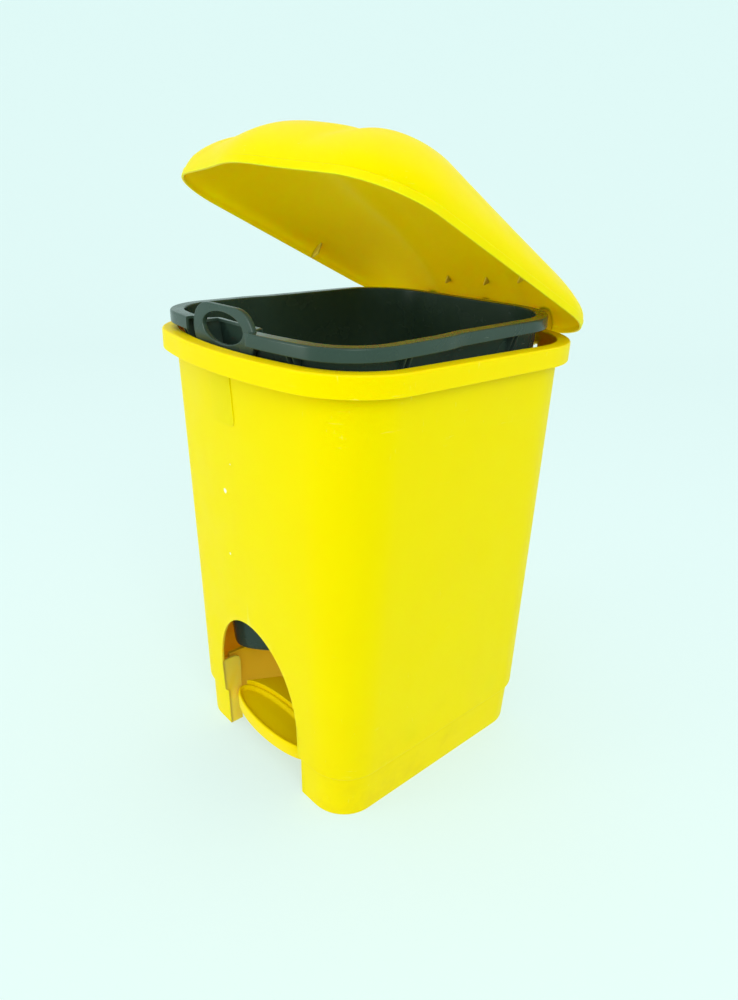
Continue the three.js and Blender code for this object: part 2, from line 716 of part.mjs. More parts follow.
function innerBucket() {
  const skin = bucketWall;
  const levels = [[-bucketDepth + bottomRound, 1], ...toeFade, [-130, 0], [recessFloor - 16, 0]];
  const softEdge = bottomRound * 0.3;
  const rings = [
    bucketRing(bucketFoot, -bottomRound, -bucketDepth, 0, 1),
    bucketRing(bucketFoot, -softEdge, -bucketDepth + softEdge, 0, 1),
    ...levels.map(([z, toe]) => bucketRing(bucketAt(z), 0, z, 0, toe)),
    bucketRing(bucketAt(recessFloor), 0, recessFloor, 1),
    bucketRing(bucketAt(0), 0, -skin, 1),
    bucketRing(flange, -skin, -skin, 0),
    bucketRing(flange, -skin, -flangeLip, 0),
    bucketRing(flange, 0, -flangeLip, 0),
    bucketRing(flange, 0, -1, 0),
    bucketRing(flange, -1, 0, 0),
    bucketRing(bucketAt(0), 1 - skin, 0, 1),
    bucketRing(bucketAt(0), -skin, -1, 1),
    bucketRing(bucketAt(recessFloor), -skin, recessFloor, 1),
    ...levels.toReversed().map(([z, toe]) => bucketRing(bucketAt(z), -skin, z, 0, toe)),
    bucketRing(bucketFoot, -skin - bottomRound, -bucketDepth + skin, 0, 1),
  ];
  const shell = solid(loft(rings, false));
  const back = handle.front + handle.thickness;
  const recessWall = flange.front + flangeReach + recessDepth;
  const low = -flangeLip - 2;
  const high = 5;
  const left = handle.centre - handle.halfWidth;
  const slot0 = handle.centre - recessHalf + recessInset;
  const slot1 = handle.centre + recessHalf - recessInset;
  const lipEnd = handle.centre + handle.halfWidth - 3;
  const slot = block(slot0, slot1, handle.front, recessWall - 2, low, high);
  const lipCut = block(left - handle.lipGap, lipEnd, flange.front - 5, back - 1, low, high);
  const plate = prismAlongY(handlePlate(), handle.front, back).translate([handle.centre, 0, 0]);
  const { half: tieHalf, inset, drop: tieDrop } = lipTie;
  const tie = block(lipEnd - tieHalf, lipEnd + tieHalf, flange.front + inset, back, -flangeLip, -tieDrop);
  const shelf = block(slot0, slot1, handle.front, recessWall + 1, handle.drop, handle.drop + skin);
  return join([cut(shell, [slot, lipCut]), plate, shelf, tie, ...rimGussets(bucketAt(0))]);
}

/** Finger loop in (x, z): a plate with a rounded head and an oval finger hole. */
function handlePlate() {
  const { halfWidth, taper, shoulder, apex, drop, holeHalf, holeTop, holeBottom } = handle;
  const shape = new THREE.Shape();
  shape.moveTo(-halfWidth, -flangeLip);
  shape.lineTo(-halfWidth + taper, drop);
  shape.lineTo(halfWidth - taper, drop);
  shape.lineTo(halfWidth, -flangeLip);
  shape.lineTo(halfWidth, 0);
  shape.bezierCurveTo(halfWidth - 8, 1, halfWidth - 9, apex, halfWidth - shoulder, apex);
  shape.lineTo(-halfWidth + shoulder, apex);
  shape.bezierCurveTo(-halfWidth + 9, apex, -halfWidth + 8, 1, -halfWidth, 0);
  const hole = new THREE.Path();
  hole.absellipse(0, (holeTop + holeBottom) / 2, holeHalf, (holeTop - holeBottom) / 2, 0, 2 * Math.PI, true);
  shape.holes.push(hole);
  return shape;
}

/** Thin gussets under the flange, in pairs: two pairs on the bowed front and two on each side. */
function rimGussets(wallTop) {
  const { thickness, depth } = gusset;
  const reach = flangeReach - bucketWall / 2;
  const profile = polygon([[-3, -depth], [1, -depth], [reach, -6], [reach, -1], [-1, -1]]);
  const half = wallTop.width / 2;
  const bowRadius = radiusOfBow(half, wallTop.bow);
  const gussets = [];
  for (const side of [-1, 1]) {
    for (const y of gusset.sideYs) {
      const jog = y > jogY ? sideJog : 0;
      const rib = prismAlongY(profile, y, y + thickness).translate([half - jog, 0, 0]);
      gussets.push(side > 0 ? rib : rib.mirror([1, 0, 0]));
    }
    for (const x of gusset.frontXs) {
      const wallY = wallTop.front + bowRadius - Math.sqrt(bowRadius ** 2 - x ** 2);
      const rib = prismAlongY(profile, -thickness / 2, thickness / 2);
      gussets.push(rib.rotate([0, 0, -90]).translate([side * x, wallY, 0]));
    }
  }
  return gussets;
}

// ---- Materials ----
const yellowPlastic = new THREE.MeshStandardMaterial({ color: '#f4dd00', roughness: 0.42, metalness: 0 });
const greyPlastic = new THREE.MeshStandardMaterial({ color: '#33423d', roughness: 0.3, metalness: 0 });
const steelWire = new THREE.MeshStandardMaterial({ color: '#b4b7ba', roughness: 0.35, metalness: 1 });
const zincScrew = new THREE.MeshStandardMaterial({ color: '#9a9da0', roughness: 0.4, metalness: 1 });

// ---- Assembly ----
const bin = new THREE.Group();
bin.position.y = frameShift;

function add(name, geometry, material, parent = bin) {
  const mesh = new THREE.Mesh(geometry, material);
  mesh.name = name;
  parent.add(mesh);
  return mesh;
}

add('outer_body', geometryOf(outerBody()), yellowPlastic);
add('base_frame', geometryOf(baseFrame()), yellowPlastic);
add('pedal', geometryOf(pedal()), yellowPlastic);
add('push_rod', geometryOf(pushRod()), steelWire);

const pin = new THREE.CylinderGeometry(pivotPinRadius, pivotPinRadius, 2 * pivotPinHalf, 20);
const placedPin = add('pedal_pivot_pin', pin, steelWire);
placedPin.position.set(0, pivotY, pivotZ);
placedPin.rotation.z = Math.PI / 2;

for (const [side, label] of [[-1, 'left'], [1, 'right']]) {
  add(`pivot_cap_${label}`, geometryOf(pivotCap(side)), yellowPlastic);
  const ends = ['front', 'rear'];
  capScrewYs().forEach((y, i) => {
    const screw = add(`pivot_cap_screw_${label}_${ends[i]}`, screwGeometry(18), zincScrew);
    screw.position.set(side * bearingX(), y, bearing.capBottom - clearance);
    screw.rotation.x = Math.PI;
  });
  earY.forEach((y, i) => {
    const screw = add(`base_screw_${label}_${ends[i]}`, screwGeometry(16), zincScrew);
    screw.position.set(side * baseScrewX, y, shelfTop + clearance);
  });
  const pinLength = hingeLugWidth + 2 * lugGap + 2 * hingeWebWidth - 1;
  const hingePin = new THREE.CylinderGeometry(hingePinRadius, hingePinRadius, pinLength, 16);
  const placed = add(`hinge_pin_${label}`, hingePin, steelWire);
  placed.position.set(side * hingeLugX, hingeY, hingeZ);
  placed.rotation.z = Math.PI / 2;
}

const clipX = liftArmWidth / 2 + 0.8;
add('rod_clip_upper', rodClip(), steelWire).position.set(clipX, rodTop().y, rodTop().z);
add('rod_clip_lower', rodClip(), steelWire).position.set(clipX, rodFootY, pivotZ);

const lidGroup = new THREE.Group();
lidGroup.position.set(0, hingeY, hingeZ);
lidGroup.rotation.x = -lidOpening;
bin.add(lidGroup);
add('lid', geometryOf(lid()).translate(0, -hingeY, -hingeZ), yellowPlastic, lidGroup);

const bucketSeat = new THREE.Group();
bucketSeat.position.z = bucketRimZ;
bucketSeat.rotation.set(bucketTilt, 0, bucketYaw, 'ZXY');
bin.add(bucketSeat);
add('inner_bucket', geometryOf(innerBucket()), greyPlastic, bucketSeat);

export default bin;
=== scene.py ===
import math

import bmesh
import bpy
import numpy as np
from mathutils import Matrix, Vector


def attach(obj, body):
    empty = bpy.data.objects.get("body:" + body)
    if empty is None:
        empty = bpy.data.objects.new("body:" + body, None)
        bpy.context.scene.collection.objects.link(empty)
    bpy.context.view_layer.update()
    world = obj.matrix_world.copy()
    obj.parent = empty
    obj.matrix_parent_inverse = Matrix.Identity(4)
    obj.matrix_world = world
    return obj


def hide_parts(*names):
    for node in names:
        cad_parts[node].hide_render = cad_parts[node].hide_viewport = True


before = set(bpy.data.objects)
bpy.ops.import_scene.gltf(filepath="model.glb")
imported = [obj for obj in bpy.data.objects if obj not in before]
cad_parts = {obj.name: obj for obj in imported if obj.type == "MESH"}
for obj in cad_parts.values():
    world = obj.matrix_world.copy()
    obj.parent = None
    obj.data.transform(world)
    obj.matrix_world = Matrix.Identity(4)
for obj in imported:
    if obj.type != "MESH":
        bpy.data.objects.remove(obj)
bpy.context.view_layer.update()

MM = 0.001
SHIFT = 14.0

# ---- Driving dimensions ----
COLLAR_TOP, COLLAR_DROP, COLLAR_REACH, WALL = 425.0, 17.5, 10.2, 2.3
BODY_TOP = dict(width=270.1, front=-175.1, rear=136.1, front_radius=61.5, rear_radius=73, bow=28.2)
BODY_FOOT = dict(width=251, front=-147.7, rear=128.4, front_radius=41, rear_radius=46, bow=1.5)
STEP = 47.0
ARCH_HALF, ARCH_SPRING, ARCH_APEX = 64.3, 79.0, 163.5
CHEEK_BACK, CHEEK_TOP = -127.5, 84.0
TAB_HALF, TAB_BOTTOM, TAB_CENTRE = 15.5, 362.0, -4.0

HINGE_Y, HINGE_Z, LUG_X, LUG_WIDTH, LUG_EYE, PIN_BORE = 140.0, 416.0, 75.0, 11.0, 6.5, 2.3
LUG_GAP, WEB_WIDTH, ARM_GAP = 0.7, 7.0, 1.2
HINGE_CUT = dict(front=8.0, rear=20.0, down=10.0, arm_down=16.0, top=430.0)
LID_OPENING, LID_SWING = math.radians(23.5), math.radians(73.5)
LID_RIM = dict(width=290.6, front=-182.4, rear=151.9, front_radius=62, rear_radius=80, bow=21)
LID_WALL, LID_SEAT, LID_BAND = 2.2, 425.4, 6.8
DOME_HEIGHT, DOME_PLAN, DOME_RISE, DOME_Y, DOME_LEAN, DOME_SPAN = 55.5, 2.46, 1.51, -8.7, 0.35, 145.0
NOSE_REACH, NOSE_SPREAD, NOSE_FADE = 7.3, 38.1, 116.0
GROOVE_X, GROOVE_DEPTH, GROOVE_SPREAD, GROOVE_FADE = 57.8, 3.9, 13.5, 0.15
ARM_HALF_WIDTH, ARM_HALF, ARM_REACH = 4.0, 6.5, 23.0
SLOT_INNER, SLOT_OUTER, SLOT_HALF = 11.5, 20.0, 3.0
LEFT_FIN_Y = 12.0
REAR_FINS = ((-40.0, 114.0), (14.0, 110.0), (66.0, 94.0))

ROD_RADIUS, ROD_X, ROD_LEG_END = 2.0, -9.0, 8.5
ROD_TOP = (126.0, 412.46)
ROD_FOOT = (114.0, 40.0)

GUIDE_Z, GUIDE_HEIGHT, GUIDE_HALF, GUIDE_PLAY, GUIDE_MOUTH = (150, 310), 10.0, 6.5, 0.9, 1.8
BOSS_Y, BOSS_HALF, BOSS_INNER, BOSS_BOTTOM, BOSS_TOP, BOSS_LEVEL = (-60, 60), 7.0, 101.0, 58.0, 79.3, 79.0
BASE_SCREW_X, SCREW_BORE = 110.0, 1.8

PIVOT_Y, PIVOT_Z, PIVOT_BORE, HUB_RADIUS, HUB_HALF = -3.0, 40.0, 3.3, 9.0, 20.0
PAD_Y, PAD_X_HALF, PAD_Y_HALF, PAD_TOP, PAD_BOTTOM, PAD_LIP, DISH = -128.0, 62.8, 20.0, 45.0, 30.0, 3.0, 4.5
WEB_TOP, WEB_BOTTOM, WEB_REAR, WEB_FRONT_HALF = 50.0, 42.0, -50.0, 61.0
LEVER_HALF, LEVER_TOP, LEVER_FRONT, LEVER_REAR = 17.0, 47.0, -108.0, 96.0
RIB_BOTTOM, RIB_FRONT, RIB_WIDTH, RIB_SET_DOWN = 33.0, -100.0, 2.5, 0.8
TAIL_HALF, TAIL_MARGIN, TAIL_HALF_HEIGHT, FOOT_PLAY = 4.0, 5.5, 6.0, 1.1

BUCKET_Z, BUCKET_TILT, BUCKET_YAW, BUCKET_DEPTH, SKIN = 444.5, math.radians(1.2), math.radians(1.4), 356.0, 2.2
FLANGE_REACH, FLANGE_LIP = 9.0, 10.5
BUCKET_TOP = dict(width=244.6, front=-165.6, rear=112.2, front_radius=46, rear_radius=58, bow=17)
BUCKET_FOOT = dict(width=212, front=-131, rear=96, front_radius=34, rear_radius=42, bow=3)
SIDE_JOG, JOG_Y = 3.4, -52.0
RECESS_DEPTH, RECESS_HALF, RECESS_FLOOR = 13.0, 36.0, -44.0
GUSSET_Y, GUSSET_X = (-103.2, -97.2, 30.8, 36.8), (69, 75)
TOE_DEPTH, TOE_FLAT, TOE_HALF = 46.0, 8.0, 80.0
TOE_LEVELS = [-250.0, -256.0, -262.0, -267.5, -273.0, -278.5, -284.0, -290.0, -296.0]
LOOP_X, LOOP_HALF, LOOP_APEX, LOOP_DROP, LOOP_FRONT, LOOP_THICK = -10.0, 43.0, 15.0, -24.0, -168.4, 4.6
HOLE_HALF, HOLE_TOP, HOLE_BOTTOM, LIP_GAP = 28.0, 9.5, -15.0, 6.0


# ---- Shapes as (points, faces) ----
def radius_of_bow(half, bow):
    """Radius of an arc that rises by bow over a half chord."""
    return (half * half + bow * bow) / (2 * bow)


def outline(o, grow=0.0, bow=30, corner=18, side=14, rear=10):
    """Closed ring of points, front centre first: a bowed front, rounded corners, straight sides and rear."""
    half, front, back = o["width"] / 2 + grow, o["front"] - grow, o["rear"] + grow
    r1, r2 = o["front_radius"] + grow, o["rear_radius"] + grow
    big = radius_of_bow(half, o["bow"])
    centre = front + big
    cx = half - r1
    cy = centre - math.sqrt((big - r1) ** 2 - cx**2)
    lean = math.asin(cx / (big - r1))
    right = [(big * math.sin(lean * i / bow), centre - big * math.cos(lean * i / bow)) for i in range(bow)]
    for i in range(corner + 1):
        a = lean + (math.pi / 2 - lean) * i / corner
        right.append((cx + r1 * math.sin(a), cy - r1 * math.cos(a)))
    right += [(half, cy + (back - r2 - cy) * i / side) for i in range(1, side)]
    for i in range(corner + 1):
        a = math.pi / 2 * i / corner
        right.append((half - r2 + r2 * math.cos(a), back - r2 + r2 * math.sin(a)))
    right += [((half - r2) * (1 - i / rear), back) for i in range(1, rear + 1)]
    left = [(-x, y) for x, y in reversed(right[1:-1])]
    return np.array(right + left)


def between(a, b, t):
    return {k: a[k] + (b[k] - a[k]) * t for k in a}


def body_at(height):
    return between(BODY_FOOT, BODY_TOP, (height - STEP) / (COLLAR_TOP - STEP))


def soften(points, closed=False, steps=4):
    """Rows of (level, grow, z, share, radius) with each corner rounded by its radius."""
    rows, count = [], len(points)
    table = [np.array(p[:4], float) for p in points]
    for i, p in enumerate(table):
        radius = points[i][4]
        if radius <= 0 or (not closed and i in (0, count - 1)):
            rows.append(p)
            continue
        a, b = table[i - 1], table[(i + 1) % count]
        pa = p + (a - p) * min(0.45, radius / np.linalg.norm((a - p)[1:3]))
        pb = p + (b - p) * min(0.45, radius / np.linalg.norm((b - p)[1:3]))
        for t in np.linspace(0, 1, steps + 1):
            rows.append((1 - t) ** 2 * pa + 2 * t * (1 - t) * p + t * t * pb)
    return rows


def refine(rows, longest):
    """The same rows with extra ones where two neighbours stand far apart."""
    out = [rows[0]]
    for a, b in zip(rows, rows[1:]):
        parts = max(1, int(np.linalg.norm((b - a)[1:3]) / longest))
        out += [a + (b - a) * i / parts for i in range(1, parts + 1)]
    return out


def ring(flat, z):
    return np.column_stack([flat, np.broadcast_to(z, len(flat))])


def loft(rings, wrap=False):
    """Closed skin through equal rings; without wrap both ends get a fan."""
    count, faces = len(rings[0]), []
    points = list(np.concatenate(rings))
    for band in range(len(rings) if wrap else len(rings) - 1):
        low, high = band * count, ((band + 1) % len(rings)) * count
        for i in range(count):
            j = (i + 1) % count
            faces.append((low + i, low + j, high + j, high + i))
    if not wrap:
        for end, base in ((0, 0), (1, (len(rings) - 1) * count)):
            points.append(np.mean(rings[-end], axis=0))
            for i in range(count):
                here, after = base + i, base + (i + 1) % count
                faces.append((len(points) - 1, here, after) if end else (len(points) - 1, after, here))
    return np.array(points), faces


def prism(flat, axis, low, high):
    """Polygon drawn counter-clockwise in the other two axes, pushed from low to high along axis."""
    others = [k for k in range(3) if k != axis]
    count, points = len(flat), []
    for level in (low, high):
        for u, v in flat:
            p = [0.0, 0.0, 0.0]
            p[others[0]], p[others[1]], p[axis] = u, v, level
            points.append(p)
    faces = [tuple(range(count)), tuple(range(2 * count - 1, count - 1, -1))]
    faces += [(i, i + count, (i + 1) % count + count, (i + 1) % count) for i in range(count)]
    return tidy((np.array(points), faces))


def block(x0, x1, y0, y1, z0, z1):
    return prism([(x0, y0), (x1, y0), (x1, y1), (x0, y1)], 2, z0, z1)


def bar(axis, radius, low, high, u, v, count=32):
    flat = [(u + radius * math.cos(2 * math.pi * i / count), v + radius * math.sin(2 * math.pi * i / count))
            for i in range(count)]
    return prism(flat, axis, low, high)


def to_bmesh(part):
    bm = bmesh.new()
    made = [bm.verts.new(p) for p in part[0]]
    for f in part[1]:
        bm.faces.new([made[i] for i in f])
    bm.normal_update()
    return bm


def from_bmesh(bm):
    bm.verts.index_update()
    part = np.array([v.co[:] for v in bm.verts]), [tuple(v.index for v in f.verts) for f in bm.faces]
    bm.free()
    return part


def tidy(part):
    """The same part with all faces looking out."""
    bm = to_bmesh(part)
    bmesh.ops.recalc_face_normals(bm, faces=bm.faces[:])
    return from_bmesh(bm)


def chamfer(part, width, segments=3, limit=40):
    """Rounds every edge sharper than limit degrees."""
    bm = to_bmesh(part)
    edges = [e for e in bm.edges if len(e.link_faces) == 2 and e.calc_face_angle(0) > math.radians(limit)]
    bmesh.ops.bevel(bm, geom=edges, offset=width, segments=segments, profile=0.5, affect="EDGES",
                    clamp_overlap=True)
    return from_bmesh(bm)


def merge(*parts):
    points, faces, start = [], [], 0
    for p, f in parts:
        points.append(p)
        faces += [tuple(i + start for i in face) for face in f]
        start += len(p)
    return np.concatenate(points), faces


def helper(part):
    mesh = bpy.data.meshes.new("helper")
    mesh.from_pydata(part[0].tolist(), [], part[1])
    o = bpy.data.objects.new("helper", mesh)
    bpy.context.scene.collection.objects.link(o)
    return o


def carve(part, *cutters):
    """The part with each cutter taken away."""
    base, tools = helper(part), [helper(c) for c in cutters]
    for tool in tools:
        m = base.modifiers.new("cut", "BOOLEAN")
        m.object, m.operation, m.solver = tool, "DIFFERENCE", "EXACT"
    bpy.context.view_layer.update()
    mesh = bpy.data.meshes.new_from_object(base.evaluated_get(bpy.context.evaluated_depsgraph_get()))
    made = np.array([v.co[:] for v in mesh.vertices]), [tuple(p.vertices) for p in mesh.polygons]
    for o in (base, *tools):
        bpy.data.objects.remove(o)
    bpy.data.meshes.remove(mesh)
    return made


def mirrored(part):
    points, faces = part
    return points * (-1, 1, 1), [tuple(reversed(f)) for f in faces]


# ---- Outer body ----
def front_of(x, z, grow=0.0):
    """Y of the front wall's outer face near its middle."""
    o = body_at(z)
    big = radius_of_bow(o["width"] / 2, o["bow"])
    return o["front"] - grow + big - math.sqrt(big * big - x * x)


def body_shell():
    under, skirt = COLLAR_TOP - WALL, COLLAR_TOP - COLLAR_DROP
    inside = COLLAR_REACH - WALL
    profile = [
        (STEP, -5.0, 0, 0, 0.5), (STEP, -3.5, 44, 0, 1.6), (STEP, 0, STEP, 0, 1.4),
        (COLLAR_TOP, 0, under, 0, 0.5), (COLLAR_TOP, inside, under, 0, 0.8), (COLLAR_TOP, inside, skirt, 0, 0.6),
        (COLLAR_TOP, COLLAR_REACH, skirt, 0, 0.8), (COLLAR_TOP, COLLAR_REACH, COLLAR_TOP, 0, 2.2),
        (COLLAR_TOP, -WALL, COLLAR_TOP, 0, 1.1), (STEP, -WALL, STEP, 0, 1.4), (STEP, -3.5 - WALL, 44, 0, 1.6),
        (STEP, -5.0 - WALL, 0, 0, 0.5),
    ]
    rows = soften(profile, closed=True)
    rows = refine(rows + [rows[0]], 24)[:-1]
    return loft([ring(outline(body_at(level), grow), z) for level, grow, z, _ in rows], wrap=True)


def arch_cutter():
    flat = [(-ARCH_HALF, -5), (ARCH_HALF, -5)]
    for i in range(73):
        a = math.pi * i / 72
        flat.append((ARCH_HALF * math.cos(a), ARCH_SPRING + (ARCH_APEX - ARCH_SPRING) * math.sin(a)))
    return prism(flat, 1, -190, BODY_FOOT["front"] + 16)


def cheeks():
    low = BODY_FOOT["front"] + 5 + WALL / 2
    flat = [(low, 0), (CHEEK_BACK, 0), (CHEEK_BACK, CHEEK_TOP - 8), (CHEEK_BACK - 1.8, CHEEK_TOP - 2.4),
            (CHEEK_BACK - 6, CHEEK_TOP), (body_at(CHEEK_TOP)["front"] + WALL / 2, CHEEK_TOP),
            (BODY_FOOT["front"] + WALL / 2, STEP), (low - 1.5, 44)]
    right = prism(flat, 0, ARCH_HALF - 0.08, ARCH_HALF + WALL)
    return merge(right, mirrored(right))


def label_tab():
    """Blank raised tab that follows the bowed front wall."""
    top, radius, columns, rows = COLLAR_TOP - COLLAR_DROP + 2, 5.0, 20, 12
    points, faces = [], []
    for depth in (1.0, -0.6):
        for i in range(columns + 1):
            x = TAB_HALF * (2 * i / columns - 1)
            past = max(0.0, abs(x) - TAB_HALF + radius)
            low = TAB_BOTTOM + radius - math.sqrt(max(0.0, radius**2 - past**2))
            for j in range(rows + 1):
                z = low + (top - low) * j / rows
                points.append((x + TAB_CENTRE, front_of(x + TAB_CENTRE, z, depth), z))
    side = (columns + 1) * (rows + 1)
    for i in range(columns):
        for j in range(rows):
            a = i * (rows + 1) + j
            quad = (a, a + rows + 1, a + rows + 2, a + 1)
            faces.append(quad)
            faces.append(tuple(side + k for k in reversed(quad)))
    edge = [i * (rows + 1) for i in range(columns + 1)]
    edge += [columns * (rows + 1) + j for j in range(1, rows + 1)]
    edge += [i * (rows + 1) + rows for i in range(columns - 1, -1, -1)]
    edge += [j for j in range(rows - 1, 0, -1)]
    for a, b in zip(edge, edge[1:] + edge[:1]):
        faces.append((b, a, a + side, b + side))
    return chamfer(tidy((np.array(points), faces)), 0.45, limit=60)


def outer_body():
    shell = carve(body_shell(), arch_cutter())
    parts, lug_gaps = [cheeks(), label_tab()], []
    gap = LUG_WIDTH / 2 + LUG_GAP
    y0, y1 = BODY_TOP["rear"] - WALL / 2, BODY_TOP["rear"] + COLLAR_REACH - WALL / 2
    cut_front, cut_rear = BODY_TOP["rear"] - HINGE_CUT["front"], BODY_TOP["rear"] + HINGE_CUT["rear"]
    for side in (-1, 1):
        for edge in (-1, 1):
            near = side * LUG_X + edge * gap
            web = block(min(near, near + edge * WEB_WIDTH), max(near, near + edge * WEB_WIDTH), y0, y1,
                        COLLAR_TOP - COLLAR_DROP + 0.5, COLLAR_TOP - 1)
            parts.append(carve(web, bar(0, PIN_BORE, -100, 100, HINGE_Y, HINGE_Z)))
        x = side * LUG_X
        lug_gaps.append(block(x - gap, x + gap, cut_front, cut_rear, HINGE_Z - HINGE_CUT["down"], HINGE_CUT["top"]))
        for y in BOSS_Y:
            wall_x = body_at(BOSS_LEVEL)["width"] / 2 - WALL / 2
            boss = block(BOSS_INNER, wall_x, y - BOSS_HALF, y + BOSS_HALF, BOSS_BOTTOM, BOSS_TOP)
            hole = bar(2, SCREW_BORE, BOSS_BOTTOM + 3, BOSS_BOTTOM + 26, BASE_SCREW_X, y, 20)
            boss = carve(chamfer(boss, 0.6), hole)
            parts.append(boss if side > 0 else mirrored(boss))
    arm_gap = ARM_HALF_WIDTH + ARM_GAP
    lug_gaps.append(block(-arm_gap, arm_gap, cut_front, cut_rear, HINGE_Z - HINGE_CUT["arm_down"], HINGE_CUT["top"]))
    for z in GUIDE_Z:
        y, high = rod_y(z + GUIDE_HEIGHT / 2), z + GUIDE_HEIGHT
        back = body_at(z)["rear"] - WALL / 2
        holder = chamfer(block(ROD_X - GUIDE_HALF, ROD_X + GUIDE_HALF, y - 3, back, z, high), 0.5)
        parts.append(carve(holder, bar(2, ROD_RADIUS + GUIDE_PLAY, z - 1, high + 1, ROD_X, y),
                           block(ROD_X - GUIDE_MOUTH, ROD_X + GUIDE_MOUTH, y - 5, y, z - 1, high + 1)))
    return merge(carve(shell, *lug_gaps), *parts)


# ---- Lid ----
def lid_ring(s, grow):
    flat = outline(LID_RIM, grow)
    fade = np.clip(-flat[:, 1] / NOSE_FADE, 0, 1)
    nose = NOSE_REACH * np.exp(-((flat[:, 0] / NOSE_SPREAD) ** 2)) * fade
    return np.column_stack([flat[:, 0] * s, DOME_Y + (flat[:, 1] - nose - DOME_Y) * s])


def dome_at(s, flat, bead=0.0):
    rise = DOME_HEIGHT * (1 - s**DOME_PLAN) ** (1 / DOME_RISE)
    lean = 1 - DOME_LEAN * flat[:, 1] / DOME_SPAN
    groove = np.exp(-(((np.abs(flat[:, 0]) - GROOVE_X) / GROOVE_SPREAD) ** 2))
    fade = min(1.0, (1 - s) / GROOVE_FADE)
    return LID_SEAT + LID_BAND + bead + rise * lean - GROOVE_DEPTH * groove * fade


def lid_shell():
    steps = [1 - 0.5 * (i / 26) ** 1.7 for i in range(27)]
    steps += [0.5 - 0.48 * (i / 16) for i in range(1, 17)]
    rings = []
    for s in reversed(steps):
        flat = lid_ring(s, -LID_WALL)
        rings.append(ring(flat, dome_at(s, flat) - LID_WALL))
    edge = [(-LID_WALL, LID_SEAT + 3), (-LID_WALL, LID_SEAT + 0.5), (-LID_WALL + 0.5, LID_SEAT), (-0.6, LID_SEAT),
            (-0.15, LID_SEAT + 0.2), (0, LID_SEAT + 0.7), (0, LID_SEAT + LID_BAND - 1.6),
            (-0.12, LID_SEAT + LID_BAND - 1.1), (-0.5, LID_SEAT + LID_BAND - 0.8),
            (-0.9, LID_SEAT + LID_BAND - 0.6), (-0.9, LID_SEAT + LID_BAND - 0.1)]
    rings += [ring(lid_ring(1, grow), z) for grow, z in edge]
    for s in steps[1:]:
        grow = -0.9 * max(0.0, 1 - (1 - s) / 0.02)
        flat = lid_ring(s, grow)
        rings.append(ring(flat, dome_at(s, flat)))
    return loft(rings)


def roof_near_hinge(y):
    s = (y - DOME_Y) / (LID_RIM["rear"] - DOME_Y)
    return float(dome_at(s, np.array([[LUG_X, y]]))[0]) - LID_WALL / 2


def lug(x0, x1):
    flat = [(HINGE_Y + LUG_EYE, HINGE_Z), (HINGE_Y + LUG_EYE + 2, COLLAR_TOP + 2), (HINGE_Y + 10.2, COLLAR_TOP + 4)]
    flat += [(y, roof_near_hinge(y)) for y in (HINGE_Y + 10.2, 148, 145, 142, 139, 136, HINGE_Y - LUG_EYE)]
    flat += [(HINGE_Y - LUG_EYE * math.cos(math.pi * i / 16), HINGE_Z - LUG_EYE * math.sin(math.pi * i / 16))
             for i in range(16)]
    return chamfer(prism(flat, 0, x0, x1), 0.5)


def lift_arm():
    angle = -LID_SWING / 2
    along = np.array([-math.cos(angle), math.sin(angle)])
    across = np.array([-along[1], along[0]])

    def at(r, t):
        return tuple(np.array([HINGE_Y, HINGE_Z]) + along * r + across * t)

    flat = [at(0, -ARM_HALF), at(ARM_REACH - 3, -ARM_HALF), at(ARM_REACH, 3 - ARM_HALF),
            at(ARM_REACH, ARM_HALF - 3), at(ARM_REACH - 3, ARM_HALF), at(0, ARM_HALF)]
    n = SLOT_HALF * 0.6
    slot = [at(SLOT_INNER + n, -SLOT_HALF), at(SLOT_OUTER - n, -SLOT_HALF), at(SLOT_OUTER, n - SLOT_HALF),
            at(SLOT_OUTER, SLOT_HALF - n), at(SLOT_OUTER - n, SLOT_HALF), at(SLOT_INNER + n, SLOT_HALF),
            at(SLOT_INNER, SLOT_HALF - n), at(SLOT_INNER, n - SLOT_HALF)]
    plate = chamfer(prism(flat, 0, -ARM_HALF_WIDTH, ARM_HALF_WIDTH), 0.5)
    return carve(plate, prism(slot, 0, -10, 10))


def fin(x, y, turn):
    """Small triangular stiffener inside the rim, drawn at the right wall and turned round to its place."""
    flat = [(0.6, LID_SEAT + 1.2), (0.6, LID_SEAT + 7), (-6.6, LID_SEAT + 17), (-8.2, LID_SEAT + 17),
            (-8.2, LID_SEAT + 6), (-1.5, LID_SEAT + 1.2)]
    points, faces = prism(flat, 1, -0.8, 0.8)
    c, s = math.cos(turn), math.sin(turn)
    moved = points.copy()
    moved[:, 0] = x + points[:, 0] * c - points[:, 1] * s
    moved[:, 1] = y + points[:, 0] * s + points[:, 1] * c
    return moved, faces


def ceiling(x, y):
    """Height of the middle of the dome's skin above a point of the plan."""
    steps = np.linspace(0.4, 1, 121)
    rings = [ring(lid_ring(s, -LID_WALL / 2), dome_at(s, lid_ring(s, -LID_WALL / 2)) - LID_WALL / 2) for s in steps]
    points = np.concatenate(rings)
    return float(points[np.argmin(np.hypot(points[:, 0] - x, points[:, 1] - y)), 2])


def hanging_fin(x, y):
    """Small pointed stiffener under the rear of the dome."""
    top, low = ceiling(x, y + 4), ceiling(x, y - 4)
    flat = [(y + 4, top), (y - 4, low), (y - 4, low - 9), (y - 2.4, low - 9)]
    return prism(flat, 0, x - 0.8, x + 0.8)


